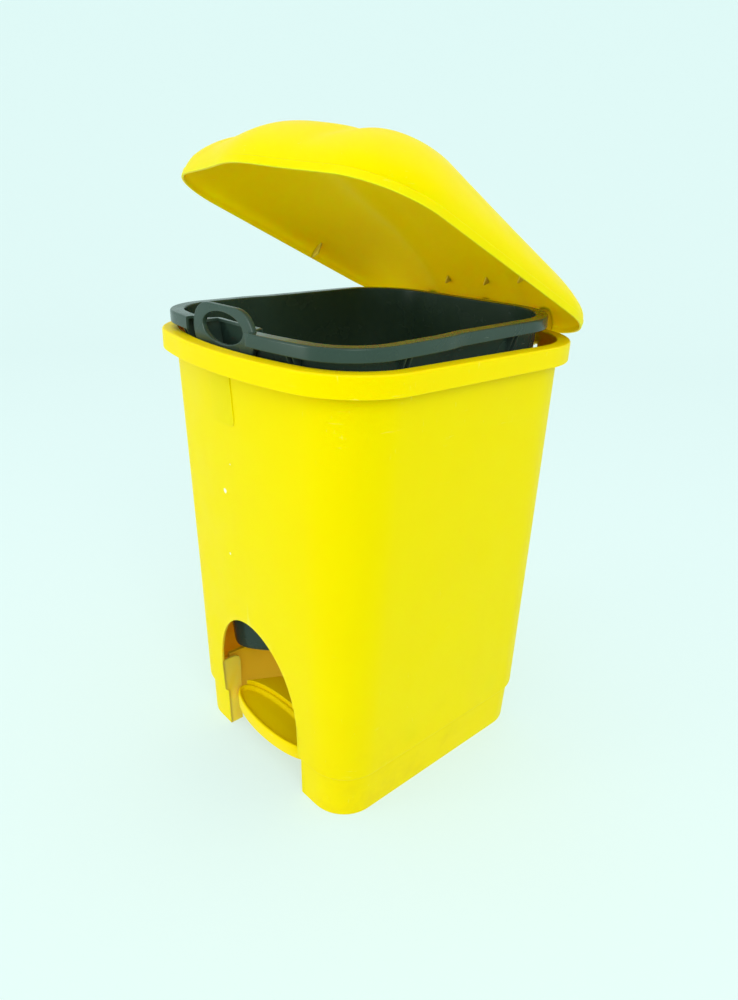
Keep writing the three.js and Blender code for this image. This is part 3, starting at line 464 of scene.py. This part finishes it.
def lid(dome):
    """The lid's moulding: the dome first, then the lugs, the lift arm and the fins that join it from inside."""
    bore = bar(0, PIN_BORE, -100, 100, HINGE_Y, HINGE_Z)
    half = LID_RIM["width"] / 2 - LID_WALL
    fins = [fin(-half, LEFT_FIN_Y, math.pi)]
    fins += [hanging_fin(x, y) for x, y in REAR_FINS]
    lugs = [carve(lug(x - LUG_WIDTH / 2, x + LUG_WIDTH / 2), bore) for x in (-LUG_X, LUG_X)]
    return merge(dome, *lugs, lug(-ARM_HALF_WIDTH, ARM_HALF_WIDTH), lift_arm(), *fins)


# ---- Pedal ----
def pad_ring(grow, z, count=96):
    a = -math.pi / 2 + 2 * math.pi * np.arange(count) / count
    flat = np.column_stack([(PAD_X_HALF + grow) * np.cos(a), PAD_Y + (PAD_Y_HALF + grow) * np.sin(a)])
    return ring(flat, z)


def pad():
    profile = [
        (0, -12, PAD_TOP - DISH - PAD_LIP, 0, 0), (0, -PAD_LIP, PAD_TOP - DISH - PAD_LIP, 0, 0.8),
        (0, -PAD_LIP, PAD_BOTTOM, 0, 0.8), (0, -0.6, PAD_BOTTOM, 0, 1.2), (0, 0, PAD_TOP - 6, 0, 3),
        (0, -0.6, PAD_TOP, 0, 2.2), (0, -PAD_LIP - 0.8, PAD_TOP, 0, 1.4), (0, -PAD_LIP - 2.2, PAD_TOP - DISH, 0, 1.6),
        (0, -12, PAD_TOP - DISH + 0.3, 0, 0), (0, -17, PAD_TOP - DISH + 0.5, 0, 0),
    ]
    rows = refine(soften(profile), 3)
    return loft([pad_ring(grow, z) for _, grow, z, _ in rows])


def web():
    rear = [(x, PAD_Y + (PAD_Y_HALF - 1) * math.sqrt(max(0.0, 1 - (x / PAD_X_HALF) ** 2)))
            for x in np.linspace(WEB_FRONT_HALF, -WEB_FRONT_HALF, 41)]
    flat = rear + [(-LEVER_HALF - 5, WEB_REAR), (LEVER_HALF + 5, WEB_REAR)]
    return chamfer(prism(flat, 2, WEB_BOTTOM, WEB_TOP), 1.1, limit=50)


def pedal():
    h, rib_top = LEVER_HALF, LEVER_TOP - RIB_SET_DOWN
    parts = [chamfer(block(-h, h, LEVER_FRONT, LEVER_REAR, WEB_BOTTOM - 1, LEVER_TOP), 0.8)]
    for side in (-1, 1):
        x0, x1 = sorted((side * h, side * (h - RIB_WIDTH)))
        parts.append(chamfer(block(x0, x1, RIB_FRONT, LEVER_REAR, RIB_BOTTOM, rib_top), 0.6))
    parts.append(chamfer(block(-h, h, LEVER_REAR - 2.6, LEVER_REAR, RIB_BOTTOM, rib_top), 0.6))
    tail = block(-TAIL_HALF, TAIL_HALF, LEVER_REAR - 2, ROD_FOOT[0] + TAIL_MARGIN, PIVOT_Z - TAIL_HALF_HEIGHT,
                 PIVOT_Z + TAIL_HALF_HEIGHT)
    eye = bar(0, ROD_RADIUS + FOOT_PLAY, -TAIL_HALF - 2, TAIL_HALF + 2, *ROD_FOOT)
    parts.append(carve(chamfer(tail, 0.8), eye))
    parts.append(chamfer(bar(0, HUB_RADIUS, -HUB_HALF, HUB_HALF, PIVOT_Y, PIVOT_Z, 40), 0.8, limit=60))
    bore = bar(0, PIVOT_BORE, -HUB_HALF - 1, HUB_HALF + 1, PIVOT_Y, PIVOT_Z)
    parts = [carve(p, bore) if i in (1, 2, len(parts) - 1) else p for i, p in enumerate(parts)]
    return merge(pad(), web(), *parts)


# ---- Bucket ----
def bucket_at(z):
    return between(BUCKET_TOP, BUCKET_FOOT, -z / BUCKET_DEPTH)


def smooth(value, low, high):
    t = np.clip((value - low) / (high - low), 0, 1)
    return t * t * (3 - 2 * t)


def bucket_ring(level, grow, z, share):
    flat = outline(bucket_at(level), grow)
    x, y = flat[:, 0], flat[:, 1]
    jog = SIDE_JOG * smooth(y, JOG_Y - 4, JOG_Y + 4) * np.minimum(1, np.abs(x) / 60)
    recess = np.where(y > 0, 0, 1 - smooth(np.abs(x - LOOP_X), RECESS_HALF - 7, RECESS_HALF))
    toe = np.where(y > 0, 0, 1 - smooth(np.abs(x), TOE_FLAT, TOE_HALF)) * smooth(-z, 250, 296)
    return ring(np.column_stack([x - np.sign(x) * jog, y + share * RECESS_DEPTH * recess + TOE_DEPTH * toe]), z)


def loop_edge(angle, size):
    """Distance from the finger hole's centre to the loop's outer edge in a direction."""
    cz = (HOLE_TOP + HOLE_BOTTOM) / 2
    corners = (((LOOP_HALF - 20, LOOP_DROP), (LOOP_HALF - 8, LOOP_DROP), (LOOP_HALF - 1, -19), (LOOP_HALF, -7)),
               ((LOOP_HALF, -4), (LOOP_HALF - 2, 6), (LOOP_HALF - 9, LOOP_APEX), (LOOP_HALF - 25, LOOP_APEX)))
    right = []
    for corner in corners:
        p = [np.array(q, float) for q in corner]
        right += [tuple((1 - t) ** 3 * p[0] + 3 * t * (1 - t) ** 2 * p[1] + 3 * t * t * (1 - t) * p[2] + t**3 * p[3])
                  for t in np.linspace(0, 1, 16)]
    contour = right + [(-x, z) for x, z in reversed(right)]
    d = np.array([math.cos(angle), math.sin(angle)])
    best = size
    for a, b in zip(contour, contour[1:] + contour[:1]):
        a, b = np.array(a) - (0, cz), np.array(b) - (0, cz)
        e = b - a
        det = d[0] * e[1] - d[1] * e[0]
        if abs(det) < 1e-9:
            continue
        r = (a[0] * e[1] - a[1] * e[0]) / det
        t = (a[0] * d[1] - a[1] * d[0]) / det
        if r > 0 and -1e-6 <= t <= 1 + 1e-6:
            best = min(best, r)
    return best


def finger_loop():
    """Plate with a rounded head round an oval finger hole, all its edges rolled."""
    count, cz = 120, (HOLE_TOP + HOLE_BOTTOM) / 2
    angles = [2 * math.pi * i / count for i in range(count)]
    way = np.array([(math.cos(a), math.sin(a)) for a in angles])
    outer = np.array([loop_edge(a, 80.0) for a in angles])
    a, b = HOLE_HALF, (HOLE_TOP - HOLE_BOTTOM) / 2
    inner = np.array([a * b / math.hypot(b * math.cos(t), a * math.sin(t)) for t in angles])
    y0, y1, r = LOOP_FRONT, LOOP_FRONT + LOOP_THICK, 1.5
    rings = []
    for share, inset, y in ((0, 0, y1 - r), (0, 0, y0 + r), (0, 0.44, y0 + 0.44), (0, r, y0), (1, r, y0),
                            (1, 0.44, y0 + 0.44), (1, 0, y0 + r), (1, 0, y1 - r), (1, 0.44, y1 - 0.44), (1, r, y1),
                            (0, r, y1), (0, 0.44, y1 - 0.44)):
        reach = outer - inset if share else inner + inset
        flat = way * reach[:, None]
        rings.append(np.column_stack([flat[:, 0] + LOOP_X, np.full(count, y), flat[:, 1] + cz]))
    return tidy(loft(rings, wrap=True))


def gusset_plate(reach):
    flat = [(-3, -24), (1, -24), (reach, -6), (reach, -1), (-1, -1)]
    return chamfer(prism(flat, 1, -0.8, 0.8), 0.3, segments=2)


def gussets():
    made, reach = [], FLANGE_REACH - SKIN / 2
    half = BUCKET_TOP["width"] / 2
    big = radius_of_bow(half, BUCKET_TOP["bow"])
    for y in GUSSET_Y:
        points, faces = gusset_plate(reach)
        plate = points + (half - (SIDE_JOG if y > JOG_Y else 0), y, 0), faces
        made += [plate, mirrored(plate)]
    for x in GUSSET_X:
        points, faces = gusset_plate(reach)
        turned = np.column_stack([points[:, 1] + x,
                                  BUCKET_TOP["front"] + big - math.sqrt(big**2 - x**2) - points[:, 0], points[:, 2]])
        plate = tidy((turned, faces))
        made += [plate, mirrored(plate)]
    return made


def bucket():
    k = SKIN
    foot = -BUCKET_DEPTH
    profile = [
        (foot, -40, foot, 0, 0), (foot, 0, foot, 0, 7), *[(z, 0, z, 0, 0) for z in reversed(TOE_LEVELS)],
        (RECESS_FLOOR - 16, 0, RECESS_FLOOR - 16, 0, 3),
        (RECESS_FLOOR, 0, RECESS_FLOOR, 1, 4), (0, 0, -k, 1, 0.8), (0, FLANGE_REACH - k, -k, 0, 1.2),
        (0, FLANGE_REACH - k, -FLANGE_LIP, 0, 0.6), (0, FLANGE_REACH, -FLANGE_LIP, 0, 0.8),
        (0, FLANGE_REACH, 0, 0, 1.8), (0, -k, 0, 1, 1.5), (RECESS_FLOOR, -k, RECESS_FLOOR, 1, 4),
        (RECESS_FLOOR - 16, -k, RECESS_FLOOR - 16, 0, 3), *[(z, -k, z, 0, 0) for z in TOE_LEVELS],
        (foot, -k, foot + k, 0, 8), (foot, -40, foot + k, 0, 0),
    ]
    rows = refine(soften(profile, steps=5), 22)
    shell = tidy(loft([bucket_ring(*row) for row in rows]))
    back = LOOP_FRONT + LOOP_THICK
    x0, x1 = LOOP_X - RECESS_HALF + 8, LOOP_X + RECESS_HALF - 8
    wall_y = BUCKET_TOP["front"] + RECESS_DEPTH
    lip_end = LOOP_X + LOOP_HALF - 3
    shell = carve(shell, block(x0, x1, LOOP_FRONT, wall_y - 2, -FLANGE_LIP - 2, 5),
                  block(LOOP_X - LOOP_HALF - LIP_GAP, lip_end, -190, back - 1, -FLANGE_LIP - 2, 5))
    arms = [chamfer(block(lip_end - 2.5, lip_end + 2.5, -173.2, back - 0.3, -FLANGE_LIP, -0.5), 0.9)]
    shelf = chamfer(block(x0, x1, LOOP_FRONT + 1, wall_y + 1, LOOP_DROP, LOOP_DROP + k), 0.5)
    return merge(shell, finger_loop(), shelf, *arms, *gussets())


# ---- Push rod ----
def rod_y(z):
    return ROD_FOOT[0] + (z - ROD_FOOT[1]) * (ROD_TOP[0] - ROD_FOOT[0]) / (ROD_TOP[1] - ROD_FOOT[1])


def push_rod():
    """Bent wire: one swept circle along the shaft and both legs, with rounded bends."""
    corners = [np.array(p, float) for p in ((ROD_LEG_END, *ROD_TOP), (ROD_X, *ROD_TOP), (ROD_X, *ROD_FOOT),
                                            (ROD_LEG_END, *ROD_FOOT))]
    path = [corners[0]]
    for i in (1, 2):
        p, a, b = corners[i], corners[i - 1], corners[i + 1]
        pa = p + (a - p) / np.linalg.norm(a - p) * 3.0
        pb = p + (b - p) / np.linalg.norm(b - p) * 3.0
        path += [(1 - t) ** 2 * pa + 2 * t * (1 - t) * p + t * t * pb for t in np.linspace(0, 1, 9)]
    path.append(corners[3])
    rings, side = [], None
    for i, p in enumerate(path):
        step = path[min(i + 1, len(path) - 1)] - path[max(i - 1, 0)]
        step = step / np.linalg.norm(step)
        side = np.cross(step, (0, 1, 0) if side is None else np.cross(side, step))
        side = side / np.linalg.norm(side)
        other = np.cross(step, side)
        ends = i in (0, len(path) - 1)
        r = ROD_RADIUS * (0.8 if ends else 1)
        rings.append(np.array([p + r * (side * math.cos(t) + other * math.sin(t))
                               for t in np.linspace(0, 2 * math.pi, 21)[:-1]]))
    return tidy(loft(rings))


# ---- Materials ----
def node(tree, kind, inputs=None, **settings):
    made = tree.nodes.new(kind)
    for key, value in settings.items():
        setattr(made, key, value)
    for key, value in (inputs or {}).items():
        if isinstance(value, bpy.types.NodeSocket):
            tree.links.new(value, made.inputs[key])
        else:
            made.inputs[key].default_value = value
    return made


def noise(tree, where, scale, detail=3.0, stretch=None, rough=0.5):
    if stretch:
        where = node(tree, "ShaderNodeMapping", {"Vector": where, "Scale": stretch}).outputs["Vector"]
    return node(tree, "ShaderNodeTexNoise", {"Vector": where, "Scale": scale, "Detail": detail,
                                             "Roughness": rough}).outputs["Fac"]


def spread(tree, value, low, high, to_low=0.0, to_high=1.0):
    return node(tree, "ShaderNodeMapRange", {"Value": value, "From Min": low, "From Max": high, "To Min": to_low,
                                             "To Max": to_high}).outputs["Result"]


def product(tree, a, b, operation="MULTIPLY"):
    return node(tree, "ShaderNodeMath", {0: a, 1: b}, operation=operation).outputs[0]


def mix(tree, share, a, b):
    """Colour mix; the colour sockets of this node are its seventh and eighth inputs."""
    made = tree.nodes.new("ShaderNodeMix")
    made.data_type = "RGBA"
    for key, value in ((0, share), (6, a), (7, b)):
        if isinstance(value, bpy.types.NodeSocket):
            tree.links.new(value, made.inputs[key])
        else:
            made.inputs[key].default_value = value
    return made.outputs[2]


def moulded(name, colour, deep, worn_and_highlight, roughness, specular, tint, grain=0.12, scuffs=0.35, marks=(), low_darkening=0.0,
            through=0.0):
    """Injection-moulded plastic: mottled colour, flow streaks, scuffs, paler edges that are partly wear and partly a
    painted edge highlight, fine grain and slight warp.
    """
    made = bpy.data.materials.new(name)
    made.use_nodes = True
    tree = made.node_tree
    tree.nodes.clear()
    where = node(tree, "ShaderNodeTexCoord").outputs["Object"]
    mottle = spread(tree, noise(tree, where, 11, 4), 0.35, 0.7, 0, 0.55)
    streak = spread(tree, noise(tree, where, 5, 2, (9, 9, 1)), 0.4, 0.75, 0, 0.35)
    shade = mix(tree, product(tree, mottle, streak, "MAXIMUM"), (*colour, 1), (*deep, 1))
    patch = spread(tree, noise(tree, where, 6, 2), 0.5, 0.62)
    lines = spread(tree, noise(tree, where, 40, 4, (1, 1, 9), 0.7), 0.66, 0.72)
    fine = spread(tree, noise(tree, where, 75, 3, (6, 6, 1), 0.6), 0.69, 0.73)
    scuff = product(tree, product(tree, lines, fine, "MAXIMUM"), patch)
    chips = None
    for x, y, z, size in marks:
        away = node(tree, "ShaderNodeVectorMath", {0: where, 1: (x * MM, y * MM, z * MM)}, operation="DISTANCE")
        rough_edge = product(tree, noise(tree, where, 420, 2), size * MM * 1.4)
        away = product(tree, away.outputs["Value"], rough_edge, "SUBTRACT")
        chip = spread(tree, away, 0, size * MM * 0.25, 1, 0)
        chips = chip if chips is None else product(tree, chips, chip, "MAXIMUM")
    # Sharp edges turn towards the worn colour: partly wear, partly a painted edge highlight.
    edge = spread(tree, node(tree, "ShaderNodeNewGeometry").outputs["Pointiness"], 0.53, 0.62, 0, 0.3)
    wear_and_highlight = product(tree, product(tree, scuff, scuffs), edge, "MAXIMUM")
    wear_and_highlight = node(tree, "ShaderNodeClamp", {"Value": wear_and_highlight}).outputs[0]
    shade = mix(tree, wear_and_highlight, shade, (*worn_and_highlight, 1))
    if chips is not None:
        shade = mix(tree, chips, shade, (*CHIP_WHITE, 1))
    # Darker yellow in patches over the lowest 10 cm of the part.
    if low_darkening:
        height = node(tree, "ShaderNodeSeparateXYZ", {"Vector": where}).outputs["Z"]
        low = spread(tree, height, 0.0, 0.1, 1, 0)
        spots = spread(tree, noise(tree, where, 22, 5, None, 0.7), 0.5, 0.72)
        shade = mix(tree, product(tree, product(tree, low, spots), low_darkening), shade,
                        (colour[0] * 0.6, colour[1] * 0.55, 0.02, 1))
    rough = spread(tree, noise(tree, where, 34, 4), 0.3, 0.7, roughness - 0.05, roughness + 0.07)
    rough = product(tree, rough, product(tree, wear_and_highlight, 0.35), "ADD")
    warp = node(tree, "ShaderNodeBump", {"Height": noise(tree, where, 16, 1), "Strength": 0.12, "Distance": 0.003})
    bump = node(tree, "ShaderNodeBump", {"Height": noise(tree, where, 1500, 2), "Strength": grain,
                                         "Distance": 0.0002, "Normal": warp.outputs["Normal"]})
    shader = node(tree, "ShaderNodeBsdfPrincipled", {
        "Base Color": shade, "Roughness": rough, "Specular IOR Level": specular, "Specular Tint": (*tint, 1),
        "Subsurface Weight": through, "Subsurface Radius": (1.0, 0.45, 0.05), "Subsurface Scale": 0.012,
        "Normal": bump.outputs["Normal"]})
    node(tree, "ShaderNodeOutputMaterial", {"Surface": shader.outputs["BSDF"]})
    return made


def metal(name, colour, roughness, stretch):
    """Drawn or plated steel: fine lines along its length and dull spots."""
    made = bpy.data.materials.new(name)
    made.use_nodes = True
    tree = made.node_tree
    tree.nodes.clear()
    where = node(tree, "ShaderNodeTexCoord").outputs["Object"]
    lines = noise(tree, where, 260, 3, stretch)
    spots = spread(tree, noise(tree, where, 90, 4), 0.55, 0.75)
    dull = tuple(c * 0.62 for c in colour)
    shade = mix(tree, spots, (*colour, 1), (*dull, 1))
    rough = product(tree, spread(tree, lines, 0.3, 0.7, roughness - 0.08, roughness + 0.1),
                    product(tree, spots, 0.18), "ADD")
    bump = node(tree, "ShaderNodeBump", {"Height": lines, "Strength": 0.2, "Distance": 0.0002})
    shader = node(tree, "ShaderNodeBsdfPrincipled", {
        "Base Color": shade, "Roughness": rough, "Metallic": 1.0, "Normal": bump.outputs["Normal"]})
    node(tree, "ShaderNodeOutputMaterial", {"Surface": shader.outputs["BSDF"]})
    return made


# The worn colour is laid on scuffs and also along sharp edges, where it is partly wear and partly a painted edge
# highlight.
YELLOW, YELLOW_DEEP, YELLOW_WORN_AND_HIGHLIGHT = (0.915, 0.68, 0.0), (0.895, 0.64, 0.0), (0.94, 0.82, 0.2)
# Lighter copy of the yellow for the underside of the lid: painted light for the glow through the thin lid and the
# light bounced under it.
LID_INNER_LIT, LID_INNER_LIT_DEEP = (0.985, 0.75, 0.0), (0.975, 0.70, 0.0)
# Deeper orange copy of the yellow for the inside of the body and for the frame: painted shade.
INNER_SHADE, INNER_SHADE_DEEP = (0.94, 0.55, 0.0), (0.92, 0.50, 0.0)
CHIP_WHITE = (0.90, 0.90, 0.74)
TINT = (1.0, 0.80, 0.0)
CHIPS = [(-16, SHIFT - 165.4, 296.8, 2.8), (-20, SHIFT - 160.9, 232.5, 1.6), (-2.3, SHIFT - 167.8, 326, 0.8)]

body_yellow = moulded("body_yellow", YELLOW, YELLOW_DEEP, YELLOW_WORN_AND_HIGHLIGHT, 0.46, 0.07, TINT, marks=CHIPS, low_darkening=0.22,
                      through=0.25)
# Inside faces of the body: the same plastic painted orange, as painted shade.
body_inner_painted_shade = moulded("body_inner_painted_shade", INNER_SHADE, INNER_SHADE_DEEP, YELLOW_WORN_AND_HIGHLIGHT, 0.5, 0.12, TINT, scuffs=0.15, through=0.5)
lid_yellow = moulded("lid_yellow", YELLOW, YELLOW_DEEP, YELLOW_WORN_AND_HIGHLIGHT, 0.46, 0.07, TINT, through=0.5)
# Underside of the lid: the same plastic painted lighter, as painted light.
lid_inner_painted_light = moulded("lid_inner_painted_light", LID_INNER_LIT, LID_INNER_LIT_DEEP, YELLOW_WORN_AND_HIGHLIGHT, 0.5, 0.12, TINT, scuffs=0.15, through=0.9)
pedal_yellow = moulded("pedal_yellow", YELLOW, YELLOW_DEEP, YELLOW_WORN_AND_HIGHLIGHT, 0.46, 0.16, TINT, scuffs=0.6)
# Frame and pivot cap: the orange painted-shade copy of the yellow.
frame_painted_shade = moulded("frame_painted_shade", INNER_SHADE, INNER_SHADE_DEEP, YELLOW_WORN_AND_HIGHLIGHT, 0.5, 0.12, TINT, scuffs=0.2)
bucket_grey = moulded("bucket_grey", (0.033, 0.060, 0.046), (0.023, 0.044, 0.033), (0.12, 0.15, 0.14), 0.24, 0.24,
                      (0.86, 1.0, 0.95), grain=0.05, scuffs=0.3)
# Lugs, lift arm and fins of the lid: a deeper orange copy of the lid's yellow, painted shade.
rib_painted_shade = moulded("rib_painted_shade", (0.96, 0.66, 0.0), (0.94, 0.60, 0.0), YELLOW_WORN_AND_HIGHLIGHT, 0.5, 0.12, TINT, scuffs=0.15)
drawn_steel = metal("drawn_steel", (0.56, 0.57, 0.58), 0.32, (9, 9, 0.4))
zinc_plate = metal("zinc_plate", (0.5, 0.51, 0.53), 0.36, (3, 3, 3))


# ---- Placing ----
def place(name, part, body, materials, node_name, matrix=None, inner=None, skin=None, sharp=38):
    """One visible piece in the row frame. inner(centre, normal) says which faces take the second material; all
    faces past the first skin ones take the third."""
    points, faces = part
    if matrix is not None:
        points = points @ np.array(matrix)[:3, :3].T + np.array(matrix)[:3, 3]
    normals_from = None if matrix is None else np.linalg.inv(np.array(matrix))
    mesh = bpy.data.meshes.new(name)
    mesh.from_pydata(((points + (0, SHIFT, 0)) * MM).tolist(), [], faces)
    mesh.validate()
    mesh.update()
    for m in materials:
        mesh.materials.append(m)
    for p in mesh.polygons:
        p.use_smooth = True
        if inner:
            centre, normal = np.array(p.center) / MM - (0, SHIFT, 0), np.array(p.normal)
            if normals_from is not None:
                centre = normals_from[:3, :3] @ centre + normals_from[:3, 3]
                normal = normals_from[:3, :3] @ normal
            p.material_index = 2 if skin and p.index >= skin else int(inner(centre, normal))
    mesh.set_sharp_from_angle(angle=math.radians(sharp))
    o = bpy.data.objects.new(name, mesh)
    bpy.context.scene.collection.objects.link(o)
    even = o.modifiers.new("even_normals", "WEIGHTED_NORMAL")
    even.keep_sharp = True
    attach(o, body)
    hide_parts(node_name)


# Faces looking into the body below the collar take its orange painted-shade material.
def inside_body(centre, normal):
    return centre[0] * normal[0] + (centre[1] + 10) * normal[1] < 0 and centre[2] < COLLAR_TOP - WALL


# Faces under the lid take its lighter painted-light material.
def inside_lid(centre, normal):
    inward = centre[0] * normal[0] + (centre[1] - DOME_Y) * normal[1] < 0
    return centre[2] > LID_SEAT + 0.3 and (normal[2] < -0.05 or (inward and normal[2] < 0.3))


hinge = Vector((0, HINGE_Y, HINGE_Z))
lid_matrix = Matrix.Translation(hinge) @ Matrix.Rotation(-LID_OPENING, 4, "X") @ Matrix.Translation(-hinge)
bucket_matrix = (Matrix.Translation((0, 0, BUCKET_Z)) @ Matrix.Rotation(BUCKET_YAW, 4, "Z")
                 @ Matrix.Rotation(BUCKET_TILT, 4, "X"))

place("body_shell", outer_body(), "bin_body", [body_yellow, body_inner_painted_shade], "outer_body",
      inner=inside_body)
dome = lid_shell()
place("domed_lid", lid(dome), "lid", [lid_yellow, lid_inner_painted_light, rib_painted_shade], "lid", lid_matrix,
      inside_lid, skin=len(dome[1]))
place("foot_pedal", pedal(), "pedal", [pedal_yellow], "pedal")
place("waste_bucket", bucket(), "bin_body", [bucket_grey], "inner_bucket", bucket_matrix)
place("bent_wire_rod", push_rod(), "push_rod", [drawn_steel], "push_rod")

# The frame and the pivot cap take the orange painted-shade copy of the yellow.
CAD_FINISH = {"base_frame": frame_painted_shade, "pivot_cap": frame_painted_shade, "pivot_cap_screw": zinc_plate,
              "base_screw": zinc_plate, "pedal_pivot_pin": drawn_steel, "hinge_pin": drawn_steel,
              "rod_clip": zinc_plate}
for name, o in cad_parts.items():
    if o.hide_render:
        continue
    stem = max((s for s in CAD_FINISH if name.startswith(s)), key=len)
    o.data.materials.clear()
    o.data.materials.append(CAD_FINISH[stem])
    weld = o.modifiers.new("weld", "WELD")
    weld.merge_threshold = 1e-6
    edges = o.modifiers.new("edges", "BEVEL")
    edges.width, edges.segments, edges.limit_method = 0.0003, 2, "ANGLE"
    edges.angle_limit = math.radians(50)
    edges.harden_normals = False


# ---- Stage, lights and camera ----
def stage_bowl():
    """Round floor that curves up into a wall all the way round."""
    line = [(0.02, 0), (0.6, 0), (1.4, 0), (2.2, 0)]
    line += [(2.2 + 1.4 * math.sin(a), 1.4 - 1.4 * math.cos(a)) for a in np.linspace(0, math.pi / 2, 17)[1:]]
    line += [(3.6, 2.4), (3.6, 3.6)]
    count, points, faces = 96, [], []
    for r, z in line:
        points += [(r * math.cos(2 * math.pi * i / count), r * math.sin(2 * math.pi * i / count), z - 0.0003)
                   for i in range(count)]
    for band in range(len(line) - 1):
        for i in range(count):
            j = (i + 1) % count
            faces.append((band * count + i, band * count + j, (band + 1) * count + j, (band + 1) * count + i))
    faces.append(tuple(reversed(range(count))))
    mesh = bpy.data.meshes.new("backdrop")
    mesh.from_pydata(points, [], faces)
    mesh.validate()
    for p in mesh.polygons:
        p.use_smooth = True
    o = bpy.data.objects.new("backdrop", mesh)
    bpy.context.scene.collection.objects.link(o)
    paper = bpy.data.materials.new("backdrop_paper")
    paper.use_nodes = True
    tree = paper.node_tree
    tree.nodes.clear()
    glow = node(tree, "ShaderNodeEmission", {"Color": (0.81, 0.985, 0.97, 1), "Strength": 1.0})
    flat = node(tree, "ShaderNodeBsdfDiffuse", {"Color": (0.70, 0.86, 0.85, 1)})
    both = node(tree, "ShaderNodeMixShader", {0: 0.6, 1: flat.outputs[0], 2: glow.outputs[0]})
    node(tree, "ShaderNodeOutputMaterial", {"Surface": both.outputs[0]})
    mesh.materials.append(paper)


def area(name, place_at, aim, size, power, colour):
    lamp = bpy.data.lights.new(name, "AREA")
    lamp.shape, lamp.size, lamp.energy, lamp.color = "SQUARE", size, power, colour
    o = bpy.data.objects.new(name, lamp)
    o.location = place_at
    o.rotation_euler = (Vector(aim) - Vector(place_at)).to_track_quat("-Z", "Y").to_euler()
    bpy.context.scene.collection.objects.link(o)


stage_bowl()
scene = bpy.context.scene
scene.view_settings.view_transform = "Standard"
world = bpy.data.worlds.new("studio")
scene.world = world
world.use_nodes = True
world.node_tree.nodes["Background"].inputs["Color"].default_value = (1.0, 0.99, 0.97, 1)
world.node_tree.nodes["Background"].inputs["Strength"].default_value = 1.0
area("key", (1.9, -1.0, 1.6), (0, 0, 0.3), 1.4, 21, (1.0, 0.95, 0.88))
area("fill", (-0.9, -2.2, 0.45), (0, 0, 0.5), 0.8, 14, (1.0, 0.95, 0.9))
area("top", (0.1, 0.3, 2.6), (0, 0, 0.3), 1.6, 3, (1.0, 0.97, 0.92))

CAMERA_AZIMUTH, CAMERA_ELEVATION, CAMERA_ROLL = (math.radians(a) for a in (47.095, 22.866, 2.363))
eye = Vector((0.4863, -0.4614 + SHIFT * MM, 0.5340))
forward = Vector((-math.sin(CAMERA_AZIMUTH) * math.cos(CAMERA_ELEVATION),
                  math.cos(CAMERA_AZIMUTH) * math.cos(CAMERA_ELEVATION), -math.sin(CAMERA_ELEVATION)))
level = forward.cross(Vector((0, 0, 1))).normalized()
upright = level.cross(forward)
right = level * math.cos(CAMERA_ROLL) + upright * math.sin(CAMERA_ROLL)
up = upright * math.cos(CAMERA_ROLL) - level * math.sin(CAMERA_ROLL)
lens = bpy.data.cameras.new("camera")
lens.lens, lens.sensor_width = 25.51, 36
camera = bpy.data.objects.new("camera", lens)
turn = Matrix((right, up, -forward)).transposed()
camera.matrix_world = Matrix.Translation(eye) @ turn.to_4x4()
scene.collection.objects.link(camera)
scene.camera = camera
